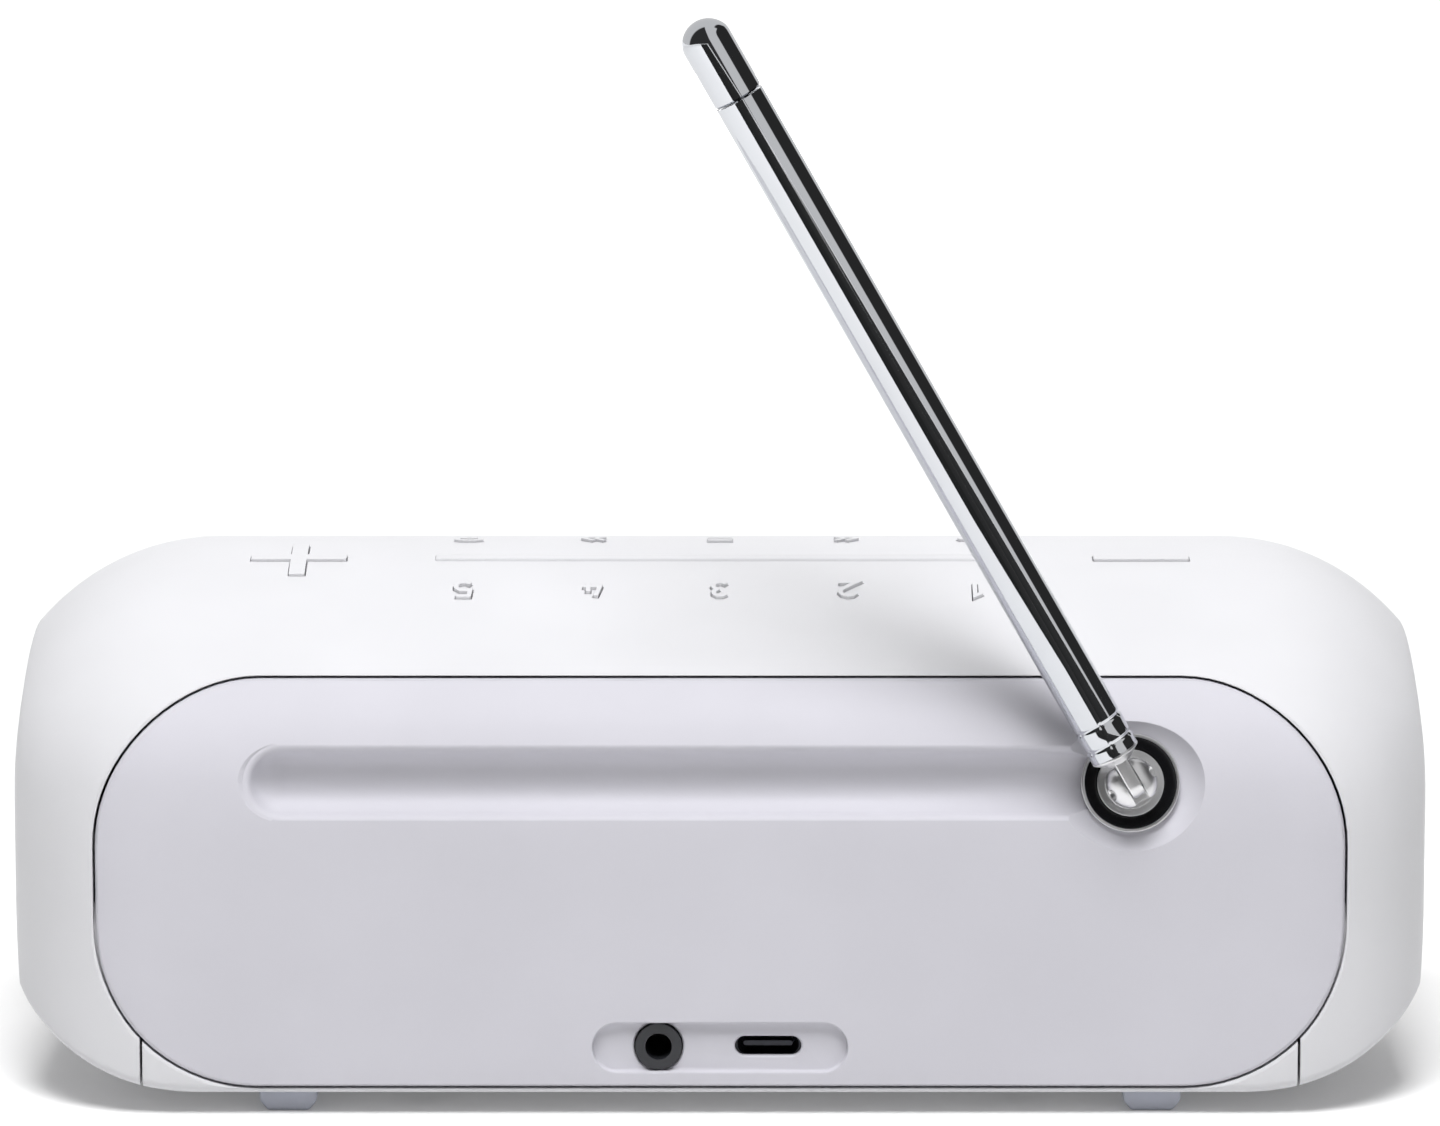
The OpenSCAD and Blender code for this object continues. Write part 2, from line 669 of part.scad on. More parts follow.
module key(k) {
    big = k[0] == "plus" || k[0] == "minus";
    half_x = big ? volume_len / 2 + 0.8 : 2.8;
    half_y = k[0] == "plus" ? half_x : big ? volume_w / 2 + 0.8 : 3;
    roof = wall + fit_gap / 2;
    intersection() {
        key_symbol(k, 0);
        difference() {
            crown_solid(-key_raise);
            crown_solid(roof + 0.5);
        }
    }
    intersection() {
        translate([k[1] - half_x, k[2] - half_y, z_top - 12]) cube([2 * half_x, 2 * half_y, 20]);
        difference() {
            crown_solid(roof);
            crown_solid(roof + 1);
        }
    }
    translate([k[1], k[2], 0]) rod(1.2, plunger_z + key_travel + 0.1, crown_z(k[2], roof + 0.5));
}
module preset_key(i) {
    color("#F2F2F3") key(keys[i - 1]);
}
module power_key() {
    color("#F2F2F3") key(keys[5]);
}
module previous_key() {
    color("#F2F2F3") key(keys[6]);
}
module menu_key() {
    color("#F2F2F3") key(keys[7]);
}
module next_key() {
    color("#F2F2F3") key(keys[8]);
}
module wireless_key() {
    color("#F2F2F3") key(keys[9]);
}
module volume_down_key() {
    color("#F2F2F3") key(keys[10]);
}
module volume_up_key() {
    color("#F2F2F3") key(keys[11]);
}

// Antenna pivot: a bezel and a bush in the dish, and a swivel with two ears that hold the hinge pin.
bezel_r = 6.65;
bush_rim_r = 6.15;
bush_r = 4.2;
disc_z = [-dish_deep + 0.4, -dish_deep + 1.1];
shaft_end = -boss_deep - 0.6;
ear_r = 3.4;
tongue_t = 1.9;
tongue_r = 2;
slot_t = tongue_t + 0.2;
module antenna_bezel() {
    color("#D8D9DC") at_pivot() tube(bezel_r, bush_rim_r + 0.05, -dish_deep + 0.02, -dish_deep + 1);
}
module antenna_bush() {
    color("#17181C") at_pivot() difference() {
        union() {
            rod(bush_rim_r, -dish_deep + 0.02, -dish_deep + 0.9);
            rod(bush_r, -boss_deep, -dish_deep + 0.1);
        }
        rod(swivel_r + 0.1, disc_z[0] - 0.05, far);
        rod(swivel_shaft_r + 0.05, -far, far);
    }
}
module swivel_frame() {
    at_pivot() rotate([0, 0, 180 - antenna_raise]) children();
}
module antenna_swivel() {
    ear_top = pin_lift + 1.7;
    color("#C9CACE") swivel_frame() difference() {
        union() {
            rod(swivel_r, disc_z[0], disc_z[1]);
            rod(swivel_shaft_r, shaft_end, disc_z[0] + 0.1);
            intersection() {
                rod(ear_r, disc_z[0] + 0.1, ear_top);
                translate([0, 0, ear_top - 7]) sphere(7);
                box(-2.8, 2.8, -ear_r, ear_r, disc_z[0], far);
            }
        }
        box(-far, far, -slot_t / 2, slot_t / 2, pin_lift - tongue_r - 0.15, far);
        translate([0, 0, pin_lift]) rotate([90, 0, 0]) cylinder(r = pin_r, h = far, center = true);
        rod(1, shaft_end - 1, shaft_end + 2.6);
    }
}
module antenna_hinge_pin() {
    color("#B4B6BA") swivel_frame() translate([0, 0, pin_lift]) rotate([90, 0, 0])
        cylinder(r = pin_r, h = 2 * ear_r - 1.2, center = true);
}
module antenna_wave_washer() {
    color("#B0B2B6") at_pivot() tube(3.8, swivel_shaft_r + 0.15, shaft_end + 0.1, -boss_deep - 0.1);
}
module antenna_retaining_screw() {
    color("#B4B6BA") swivel_frame() {
        rod(3.2, shaft_end - 1.4, shaft_end);
        rod(0.98, shaft_end - 0.1, shaft_end + 2.4);
    }
}

// Antenna: x runs along it from the hinge pin, and each tube slides in the one before it.
tube_start = 5;
tube_end = antenna_len - cap_len;
nest_step = 0.6;
function tube_r(i) = antenna_r - (i - 1) * (tube_wall + tube_clear);
module antenna_frame() {
    swivel_frame() translate([0, 0, pin_lift]) rotate([0, -antenna_lean, 0]) children();
}
module lengthwise() {
    antenna_frame() rotate([0, 90, 0]) children();
}
module antenna_foot() {
    color("#C9CACE") {
        antenna_frame() difference() {
            rotate([90, 0, 0]) linear_extrude(tongue_t, center = true) {
                circle(tongue_r);
                translate([0, -tongue_r]) square([tube_start - 0.6, 2 * tongue_r]);
            }
            rotate([90, 0, 0]) cylinder(r = pin_r + 0.05, h = far, center = true);
        }
        lengthwise() {
            translate([0, 0, tube_start - 1.3]) cylinder(r1 = 1.6, r2 = antenna_r - 0.1, h = 0.9);
            rod(antenna_r, tube_start - 0.4, tube_start - 0.02);
            rod(antenna_r - tube_wall - 0.02, tube_start - 0.1, tube_start + 3);
        }
    }
}
module antenna_tube(i) {
    start = i == 1 ? tube_start : tube_start + 3 + i * nest_step;
    color("#D9DADD") lengthwise() difference() {
        tube(tube_r(i), tube_r(i) - tube_wall, start, tube_end);
        if (i == 1) for (x = [6.7, 9.7]) translate([0, 0, x]) rotate_extrude()
            polygon([[antenna_r - 0.2, 0], [antenna_r + 1, -1.2], [antenna_r + 1, 1.2]]);
    }
}
module antenna_rod() {
    color("#D9DADD") lengthwise() rod(tube_r(5), tube_start + 3 + 5 * nest_step, tube_end + 3);
}
module antenna_cap() {
    dome = 2.6;
    straight = antenna_len - dome;
    color("#DFE0E3") lengthwise() difference() {
        union() {
            rod(antenna_r, tube_end + 0.2, straight);
            intersection() {
                rod(antenna_r, straight - 1, antenna_len);
                translate([0, 0, antenna_len - dome_r]) sphere(dome_r);
            }
        }
        rod(tube_r(5), tube_end - 1, tube_end + 3);
    }
}
dome_r = (pow(antenna_r, 2) + pow(2.6, 2)) / (2 * 2.6);

// Leads: round wires swept along points chosen by hand, all inside the body.
lead_r = 0.7;
speaker_route = [[-driver_x + 11, -22, driver_z + 14], [-driver_x + 13, -14, driver_z + 14],
    [-driver_x + 19, -6, driver_z + 13], [-main_half + 2, -2.5, driver_z + 11], [-main_half + 2, main_y - 0.1, driver_z + 11]];
battery_route = [[cell_len / 2 + 1.1, cell_y, cell_z + 5], [cell_len / 2 + 4.5, cell_y - 3, cell_z + 6],
    [cell_len / 2 + 2, cell_y - 9, cell_z + 7], [main_half + 3, main_y + 5, cell_z + 7],
    [main_half - 2, main_y + 4, cell_z + 7], [main_half - 2, main_y + board_t + 0.1, cell_z + 7]];
antenna_route = [[-pivot_x + 2.4, pivot_yz[0] - 8.4, pivot_yz[1] - 4.4], [-pivot_x + 6, pivot_yz[0] - 14, pivot_yz[1] - 5],
    [-pivot_x + 16, pivot_yz[0] - 24, pivot_yz[1] - 5], [-main_half + 1.8, main_y + 6, pivot_yz[1] - 6],
    [-main_half + 1.8, main_y + board_t + 0.1, pivot_yz[1] - 6]];
// A smooth path through the points, four steps to each stretch.
function spline(p, i, u) = let(a = p[max(i - 1, 0)], b = p[i], c = p[i + 1], d = p[min(i + 2, len(p) - 1)])
    0.5 * (2 * b + (c - a) * u + (2 * a - 5 * b + 4 * c - d) * u * u + (3 * b - a - 3 * c + d) * u * u * u);
function smooth(p) = concat([for (i = [0:len(p) - 2], k = [0:3]) spline(p, i, k / 4)], [p[len(p) - 1]]);
module lead(route) {
    p = smooth(route);
    n = len(p);
    m = 8;
    points = [for (i = [0:n - 1]) let(t = unit(p[min(i + 1, n - 1)] - p[max(i - 1, 0)]),
        a = unit(cross(t, [0.3, 0.2, 1])), b = cross(t, a)) each
        [for (j = [0:m - 1]) p[i] + lead_r * (cos(360 * j / m) * a + sin(360 * j / m) * b)]];
    sides = [for (i = [0:n - 2], j = [0:m - 1]) let(k = (j + 1) % m) each
        [[i * m + j, i * m + k, (i + 1) * m + k], [i * m + j, (i + 1) * m + k, (i + 1) * m + j]]];
    caps = [[for (j = [m - 1:-1:0]) j], [for (j = [0:m - 1]) (n - 1) * m + j]];
    polyhedron(points, concat(sides, caps));
}
module speaker_lead() {
    color("#B03030") lead(speaker_route);
}
module battery_lead() {
    color("#B03030") lead(battery_route);
}
module antenna_lead() {
    color("#202226") lead(antenna_route);
}

wrap_shell();
base_shell();
rear_panel();
front_baffle();
front_grille();
grille_cloth();
display_lens();
display_module();
deck_frame();
keypad_board();
key_switches();
for (i = [1:5]) preset_key(i);
power_key();
previous_key();
menu_key();
next_key();
wireless_key();
volume_down_key();
volume_up_key();
main_board();
tuner_shield();
io_board();
usb_c_socket();
aux_jack();
battery_cell();
battery_cradle();
driver_frame();
driver_surround();
driver_cone();
driver_magnet();
radiator_frame();
radiator_surround();
radiator_plate();
rubber_feet();
base_screws();
board_screws();
driver_screws();
antenna_bezel();
antenna_bush();
antenna_swivel();
antenna_hinge_pin();
antenna_foot();
for (i = [1:4]) antenna_tube(i);
antenna_rod();
antenna_cap();
antenna_wave_washer();
antenna_retaining_screw();
speaker_lead();
battery_lead();
antenna_lead();
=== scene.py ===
import json
import math

import bmesh
import bpy
import numpy as np
from bpy.props import FloatProperty, FloatVectorProperty, PointerProperty
from mathutils import Matrix, Vector
from mathutils.bvhtree import BVHTree
from mathutils.interpolate import poly_3d_calc


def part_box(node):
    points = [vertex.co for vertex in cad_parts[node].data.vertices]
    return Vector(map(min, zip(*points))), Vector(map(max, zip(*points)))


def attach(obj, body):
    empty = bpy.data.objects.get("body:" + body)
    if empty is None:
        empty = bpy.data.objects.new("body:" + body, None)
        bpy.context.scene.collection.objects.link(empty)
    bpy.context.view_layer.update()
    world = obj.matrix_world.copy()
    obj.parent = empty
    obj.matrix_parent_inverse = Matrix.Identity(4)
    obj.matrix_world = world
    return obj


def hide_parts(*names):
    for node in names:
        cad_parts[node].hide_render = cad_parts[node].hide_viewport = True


bl_info = {
    "name": "Tabletop radio",
    "version": (1, 0, 0),
    "blender": (4, 5, 0),
    "location": "View3D > Sidebar > Radio",
    "description": "Builds the finished look of a tabletop radio round its packed frame",
    "category": "Object",
}

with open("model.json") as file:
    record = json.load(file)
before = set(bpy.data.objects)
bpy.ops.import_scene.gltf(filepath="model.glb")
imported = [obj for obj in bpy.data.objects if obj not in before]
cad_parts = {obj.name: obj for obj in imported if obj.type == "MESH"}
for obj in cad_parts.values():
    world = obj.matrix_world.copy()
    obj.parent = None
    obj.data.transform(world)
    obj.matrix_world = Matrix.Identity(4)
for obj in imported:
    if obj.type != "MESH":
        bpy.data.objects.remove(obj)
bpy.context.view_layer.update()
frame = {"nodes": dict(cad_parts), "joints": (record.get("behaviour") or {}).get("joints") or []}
MM = 0.001
FAR = 300.0


def linear(code):
    """An sRGB hex colour as linear red, green and blue."""
    parts = [int(code[i : i + 2], 16) / 255 for i in (1, 3, 5)]
    return tuple(c / 12.92 if c <= 0.04045 else ((c + 0.055) / 1.055) ** 2.4 for c in parts)


def length(name, description, default):
    """A size in millimetres as a length property."""
    return FloatProperty(
        name=name, description=description, default=default * MM, unit="LENGTH", precision=5
    )


def colour(name, description, code):
    """An sRGB hex value as a colour property."""
    return FloatVectorProperty(
        name=name, description=description, default=linear(code), subtype="COLOR", min=0, max=1
    )


class BodySizes(bpy.types.PropertyGroup):
    """Driving sizes of the rounded body"""

    width: length("Width", "Overall width of the body", 196)
    depth: length("Depth", "Overall depth of the body", 76)
    height: length("Height", "Height of the body above its feet", 68)
    foot: length("Foot height", "Height of the rubber runners", 3)
    wall: length("Wall", "Thickness of the shells", 2.2)
    seam: length("Seam", "Gap between neighbouring shells", 0.35)
    crown: length("Crown radius", "Front to back radius of the top", 69)
    shoulder: length("Shoulder radius", "Radius behind the crown", 20)
    haunch: length("Haunch radius", "Radius of the gentle curve below the shoulder", 48)
    end: length("End radius", "Radius of the end corners seen from the front", 33)
    bulge: length("End bulge", "How far each domed end stands out", 2.2)


class DetailSizes(bpy.types.PropertyGroup):
    """Sizes of the panel, groove, dish, grille and antenna"""

    panel_width: length("Panel width", "Width of the rear panel", 168.6)
    panel_radius: length("Panel radius", "Corner radius of the rear panel", 22)
    lip: length("Edge break", "Width of the broken edge along the rear panel's gap", 0.62)
    groove: length("Groove radius", "Radius of the groove that the antenna folds into", 4.4)
    groove_lip: length("Groove lip", "Radius that rounds the groove's two edges", 0.9)
    dish: length("Dish radius", "Radius of the dish round the antenna's pivot", 9.5)
    hole: length("Grille hole", "Diameter of one hole of the front grille", 1.5)
    pitch: length("Grille pitch", "Distance between neighbouring holes of the front grille", 2.5)
    antenna: length("Antenna radius", "Outer radius of the folded antenna", 3.4)


class Finishes(bpy.types.PropertyGroup):
    """Colours of the main finishes"""

    shell: colour("Shell", "White of the moulded shells and keys", "#C7C7CA")
    panel: colour("Rear panel", "Pale lavender grey of the rear panel", "#BBBAC1")
    rubber: colour("Rubber", "Grey of the runners", "#A8ABB6")
    chrome: colour("Chrome", "Colour of the plated metal", "#CFD1D5")
    grille: colour("Grille", "Coating of the front grille", "#C8C8CB")


def sizes():
    return bpy.context.scene.radio_body


def details():
    return bpy.context.scene.radio_details


def finishes():
    return bpy.context.scene.radio_finishes


# ---- Meshes -----------------------------------------------------------------------------------


def solid(name, points, faces, matrix=None):
    """A new mesh object from points in millimetres, moved by matrix if there is one."""
    mesh = bpy.data.meshes.new(name)
    mesh.from_pydata([Vector(p) * MM for p in points], [], [tuple(int(i) for i in f) for f in faces])
    if matrix is not None:
        mesh.transform(matrix)
    mesh.update()
    mesh.validate()
    obj = bpy.data.objects.new(name, mesh)
    bpy.context.scene.collection.objects.link(obj)
    return obj


def baked(obj):
    """Applies obj's modifiers to its mesh."""
    depsgraph = bpy.context.evaluated_depsgraph_get()
    mesh = bpy.data.meshes.new_from_object(obj.evaluated_get(depsgraph))
    obj.modifiers.clear()
    old = obj.data
    obj.data = mesh
    mesh.name = obj.name
    bpy.data.meshes.remove(old)
    return obj


def carve(obj, tool, how="DIFFERENCE", keep=False):
    """Cuts, joins or crosses obj with a closed tool, which is then removed."""
    modifier = obj.modifiers.new("carve", "BOOLEAN")
    modifier.operation = how
    modifier.solver = "MANIFOLD"
    modifier.object = tool
    baked(obj)
    if not obj.data.polygons:
        raise RuntimeError(f"nothing is left of {obj.name} after {tool.name}")
    if not keep:
        bpy.data.objects.remove(tool)
    return obj


def bridge(name, loops, matrix=None, closed=True):
    """A solid through loops of equal length, with flat ends, or round and back if closed is False."""
    count, size = len(loops), len(loops[0])
    points = [p for loop in loops for p in loop]
    faces = []
    for i in range(count - 1 if closed else count):
        a, b = i * size, (i + 1) % count * size
        faces += [(a + j, a + (j + 1) % size, b + (j + 1) % size, b + j) for j in range(size)]
    if closed:
        faces += [tuple(range(size))[::-1], tuple(range((count - 1) * size, count * size))]
    obj = solid(name, points, faces, matrix)
    outward(obj)
    return obj


def outward(obj):
    """Turns every face of a closed mesh outwards."""
    work = bmesh.new()
    work.from_mesh(obj.data)
    bmesh.ops.recalc_face_normals(work, faces=work.faces)
    work.to_mesh(obj.data)
    work.free()


def prism_y(name, outline, y0, y1):
    """A straight solid along Y from an outline of (x, z) points."""
    return bridge(name, [[(x, y, z) for x, z in outline] for y in (y0, y1)])


def prism_x(name, outline, x0, x1):
    """A straight solid along X from an outline of (y, z) points."""
    return bridge(name, [[(x, y, z) for y, z in outline] for x in (x0, x1)])


def prism_z(name, outline, z0, z1, matrix=None):
    """A straight solid along Z from an outline of (x, y) points."""
    return bridge(name, [[(x, y, z) for x, y in outline] for z in (z0, z1)], matrix)


def lathe(name, outline, matrix=None, steps=96):
    """Turns a closed outline of (radius, height) points about the matrix's Z axis."""
    points, faces, rings = [], [], []
    for r, z in outline:
        if r < 1e-6:
            rings.append([len(points)] * steps)
            points.append((0, 0, z))
            continue
        rings.append(list(range(len(points), len(points) + steps)))
        turns = [2 * math.pi * k / steps for k in range(steps)]
        points += [(r * math.cos(a), r * math.sin(a), z) for a in turns]
    for i, low in enumerate(rings):
        high = rings[(i + 1) % len(rings)]
        for k in range(steps):
            ring = [low[k], low[(k + 1) % steps], high[(k + 1) % steps], high[k]]
            face = [v for n, v in enumerate(ring) if v not in ring[:n]]
            if len(face) > 2:
                faces.append(face)
    obj = solid(name, points, faces, matrix)
    outward(obj)
    return obj


def eased(points, radius, steps=5):
    """A closed (radius, height) outline with every corner off the axis rounded."""
    out, n = [], len(points)
    for i, p in enumerate(points):
        p, a, b = (np.array(q, float) for q in (p, points[i - 1], points[(i + 1) % n]))
        if p[0] < 1e-6:
            out.append(tuple(p))
            continue
        da, db = a - p, b - p
        cut = min(radius, np.linalg.norm(da) * 0.45, np.linalg.norm(db) * 0.45)
        start, end = p + da / np.linalg.norm(da) * cut, p + db / np.linalg.norm(db) * cut
        for k in range(steps + 1):
            u = k / steps
            out.append(tuple((1 - u) ** 2 * start + 2 * u * (1 - u) * p + u * u * end))
    return out


def circle(radius, centre=(0, 0), steps=64):
    angles = [2 * math.pi * k / steps for k in range(steps)]
    return [(centre[0] + radius * math.cos(a), centre[1] + radius * math.sin(a)) for a in angles]


def stadium(width, height, centre=(0, 0), steps=24):
    """A slot with round ends, as (x, z) points."""
    r, half = height / 2, (width - height) / 2
    out = []
    for side, start in ((1, -90), (-1, 90)):
        for k in range(steps + 1):
            a = math.radians(start + 180 * k / steps)
            out.append((centre[0] + side * half + r * math.cos(a), centre[1] + r * math.sin(a)))
    return out


def rounded(x0, x1, z0, z1, r, steps=18):
    """A rectangle with round corners, as (x, z) points, with extra points along its straight sides."""
    out = []
    centres = ((x1 - r, z0 + r), (x1 - r, z1 - r), (x0 + r, z1 - r), (x0 + r, z0 + r))
    for (cx, cz), start in zip(centres, (-90, 0, 90, 180)):
        for k in range(steps + 1):
            a = math.radians(start + 90 * k / steps)
            out.append((cx + r * math.cos(a), cz + r * math.sin(a)))
    full = []
    for i, p in enumerate(out):
        q = out[(i + 1) % len(out)]
        parts = max(1, int(math.dist(p, q) // 4))
        full += [(p[0] + (q[0] - p[0]) * k / parts, p[1] + (q[1] - p[1]) * k / parts) for k in range(parts)]
    return full


def smooth(obj, guide=None, angle=32):
    """Smooth shading with sharp edges, and the guide's own normals wherever obj lies on the guide."""
    mesh = obj.data
    mesh.shade_smooth()
    mesh.set_sharp_from_angle(angle=math.radians(angle))
    if guide is None:
        return obj
    skin = guide.data
    tree = BVHTree.FromPolygons([v.co for v in skin.vertices], [tuple(p.vertices) for p in skin.polygons])
    corners = [c.vector.copy() for c in mesh.corner_normals]
    found = {}
    for v in mesh.vertices:
        place, normal, index, gap = tree.find_nearest(v.co, 0.00004)
        if place is None:
            continue
        ring = skin.polygons[index].vertices
        weights = poly_3d_calc([skin.vertices[i].co for i in ring], place)
        parts = (skin.vertices[i].normal * w for i, w in zip(ring, weights))
        found[v.index] = sum(parts, Vector()).normalized()
    for face in mesh.polygons:
        if all(i in found and found[i].dot(face.normal) > 0.9 for i in face.vertices):
            for loop in face.loop_indices:
                corners[loop] = found[mesh.loops[loop].vertex_index]
    mesh.normals_split_custom_set(corners)
    return obj


def bevelled(obj, width, angle=30, steps=3):
    """Rounds the sharp edges of a small clean mesh."""
    modifier = obj.modifiers.new("bevel", "BEVEL")
    modifier.width = width * MM
    modifier.segments = steps
    modifier.limit_method = "ANGLE"
    modifier.angle_limit = math.radians(angle)
    modifier.harden_normals = False
    return baked(obj)


def place(obj, body, material, slot, *nodes):
    """Dresses a finished piece, lets it ride on its body and stand for its CAD nodes."""
    obj.data.materials.clear()
    obj.data.materials.append(material)
    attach(obj, body)
    if nodes:
        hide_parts(*nodes)
    return obj


def dress(material, *nodes):
    """Gives CAD nodes a finish."""
    for name in nodes:
        obj = frame["nodes"][name]
        obj.data.materials.clear()
        obj.data.materials.append(material)
        for face in obj.data.polygons:
            face.material_index = 0


# ---- The body's shape -------------------------------------------------------------------------


def heading(angle):
    """A direction on the side profile as (y, z): 0 is up and 90 is the rear."""
    return np.array([math.sin(math.radians(angle)), math.cos(math.radians(angle))])


def arc(centre, radius, start, end, steps, first=1):
    return [centre + radius * heading(start + (end - start) * k / steps) for k in range(first, steps + 1)]


def sag(radius, run):
    return 0.0 if run <= 0 else radius - math.sqrt(max(radius**2 - run**2, 0))


class Shape:
    """The body's rounded form: a side profile of tangent arcs that shrinks towards domed ends."""

    edge_lean, pivot_lean = 35, 80
    brow, chin, heel = 8.0, 6.0, 1.5
    rear_end, front_end = 20.0, 31.0
    turn, rear_turn, front_turn = 50, 75, 36
    panel_low, grille_low, grille_half, grille_corner = 3.9, 9.6, 84.0, 16.0

    def __init__(self):
        s = sizes()
        self.low, self.top = s.foot / MM, (s.foot + s.height) / MM
        self.rear, self.front = s.depth / 2 / MM, -s.depth / 2 / MM
        self.width, self.depth, self.height = s.width / MM, s.depth / MM, s.height / MM
        self.wall, self.seam, self.bulge, self.end = s.wall / MM, s.seam / MM, s.bulge / MM, s.end / MM
        self.crown, self.shoulder, self.haunch = s.crown / MM, s.shoulder / MM, s.haunch / MM
        rise = math.sin(math.radians(self.pivot_lean))
        edge = math.sin(math.radians(self.edge_lean))
        crest = self.rear - self.crown * edge - self.shoulder * (rise - edge) - self.haunch * (1 - rise)
        self.brow_lean = math.degrees(math.asin((crest - self.front - self.brow) / (self.crown - self.brow)))
        self.crown_c = np.array([crest, self.top - self.crown])
        self.shoulder_c = self.crown_c + (self.crown - self.shoulder) * heading(self.edge_lean)
        self.haunch_c = self.shoulder_c + (self.shoulder - self.haunch) * heading(self.pivot_lean)
        self.brow_c = self.crown_c + (self.crown - self.brow) * heading(-self.brow_lean)
        self.edge_z = self.shoulder_c[1] + self.shoulder * math.cos(math.radians(self.edge_lean))
        self.crease = self.width / 2 - self.bulge
        self.end_x = self.crease - self.end * math.sin(math.radians(self.turn))
        self.rear_x = self.crease - self.rear_end * math.sin(math.radians(self.rear_turn))
        self.front_x = self.crease - self.front_end * math.sin(math.radians(self.front_turn))

    def profile(self, t):
        """The side outline as (y, z) points, a distance t inside the skin."""
        heel, chin = max(self.heel - t, 0.3), max(self.chin - t, 0.3)
        low, rear, front = self.low + t, self.rear - t, self.front + t
        points = arc(np.array([rear - heel, low + heel]), heel, 180, 90, 8, 0)
        wall = np.array([rear, self.haunch_c[1]])
        points += [points[-1] + (wall - points[-1]) * k / 8 for k in range(1, 8)]
        points += arc(self.haunch_c, self.haunch - t, 90, self.pivot_lean, 6, 0)
        points += arc(self.shoulder_c, self.shoulder - t, self.pivot_lean, self.edge_lean, 20)
        points += arc(self.crown_c, self.crown - t, self.edge_lean, -self.brow_lean, 36)
        points += arc(self.brow_c, self.brow - t, -self.brow_lean, -90, 16)
        base = np.array([front, low + chin])
        points += [points[-1] + (base - points[-1]) * k / 16 for k in range(1, 16)]
        points += arc(np.array([front + chin, low + chin]), chin, -90, -180, 10, 0)
        last = points[-1]
        return points + [last + (points[0] - last) * k / 12 for k in range(1, 12)]

    def stations(self, t):
        flat = list(np.linspace(0, self.end_x, 19))
        turn = math.radians(self.turn)
        span = self.crease - t - self.end_x
        corner = [self.end_x + span * math.sin(turn * k / 26) / math.sin(turn) for k in range(1, 27)]
        shrink = (0.99, 0.96, 0.91, 0.84, 0.75, 0.64, 0.5, 0.36, 0.22, 0.1)
        dome = [self.crease - t + self.bulge * (1 - s * s) for s in shrink]
        right = flat[1:] + corner + dome
        return [-x for x in right[::-1]] + [0.0] + right

    def ring(self, x, t, profile):
        a = min(abs(x), self.crease - t)
        drop = sag(self.end - t, a - self.end_x)
        z0, z1 = self.low + t + drop, self.top - t - drop
        y0 = self.front + t + sag(self.front_end - t, a - self.front_x)
        y1 = self.rear - t - sag(self.rear_end - t, a - self.rear_x)
        s = math.sqrt(max(0, 1 - (abs(x) - a) / self.bulge))
        cy, cz = (y0 + y1) / 2, (z0 + z1) / 2
        out = []
        for p in profile:
            y = y0 + (p[0] - self.front - t) * (y1 - y0) / (self.depth - 2 * t)
            z = z0 + (p[1] - self.low - t) * (z1 - z0) / (self.height - 2 * t)
            out.append((x, cy + (y - cy) * s, cz + (z - cz) * s))
        return out

    def loft(self, name, t):
        """The closed rounded form, a distance t inside the skin."""
        profile = self.profile(t)
        xs = self.stations(t)
        rings = [self.ring(x, t, profile) for x in xs]
        n, m = len(rings), len(profile)
        points = [p for ring in rings for p in ring]
        tip = self.crease - t + self.bulge
        for side in (-1, 1):
            points.append((side * tip, *np.mean([p[1:] for p in rings[0]], axis=0)))
        faces = []
        for a in range(0, (n - 1) * m, m):
            b = a + m
            faces += [(a + j, a + (j + 1) % m, b + (j + 1) % m, b + j) for j in range(m)]
        faces += [(n * m, (j + 1) % m, j) for j in range(m)]
        faces += [(n * m + 1, (n - 1) * m + j, (n - 1) * m + (j + 1) % m) for j in range(m)]
        obj = solid(name, points, faces)
        outward(obj)
        obj.data.shade_smooth()
        return obj

    def skin(self, name, t0, t1):
        """The layer between two depths."""
        return carve(self.loft(name, t0), self.loft("inside", t1))

    def panel_outline(self, grow):
        half = details().panel_width / 2 / MM
        low, corner = self.panel_low - grow, details().panel_radius / MM + grow
        return rounded(-half - grow, half + grow, low, self.edge_z + grow, corner)

    def panel_zone(self, name, grow):
        """The rear panel's outline, cut through the rear skin only."""
        front = self.rear - self.wall - 0.2 - grow
        back = self.crown_c[0] + 30
        zone = prism_y(name, self.panel_outline(grow), 0, FAR)
        side = [(front, -9), (front, 25.6), (back, self.edge_z), (back, FAR), (FAR, FAR), (FAR, -9)]
        return carve(zone, prism_x("side", side, -FAR, FAR), "INTERSECT")

    def grille_outline(self, grow=0.0):
        half, low, top = self.grille_half + grow, self.grille_low - grow, self.grille_top() + grow
        return rounded(-half, half, low, top, self.grille_corner + grow)

    def grille_top(self):
        """The grille ends just below the brow's centre."""
        return self.brow_c[1] - 0.4

    def seam_tool(self, guide, outline, across, deep):
        """A four-sided cord laid along an outline on the rear skin, which breaks both edges of its gap."""
        tree = BVHTree.FromObject(guide, bpy.context.evaluated_depsgraph_get())
        spine = []
        for x, z in outline:
            hit = tree.ray_cast(Vector((x * MM, 0.2, z * MM)), Vector((0, -1, 0)))
            if hit[0] is not None:
                spine.append((hit[0] / MM, hit[1]))
        loops = []
        for i, (point, normal) in enumerate(spine):
            along = (spine[(i + 1) % len(spine)][0] - spine[i - 1][0]).normalized()
            side = normal.cross(along).normalized()
            a, b = side * across, normal * deep
            loops.append([point + a, point + b, point - a, point - b])
        return bridge("seam_tool", loops, closed=False)


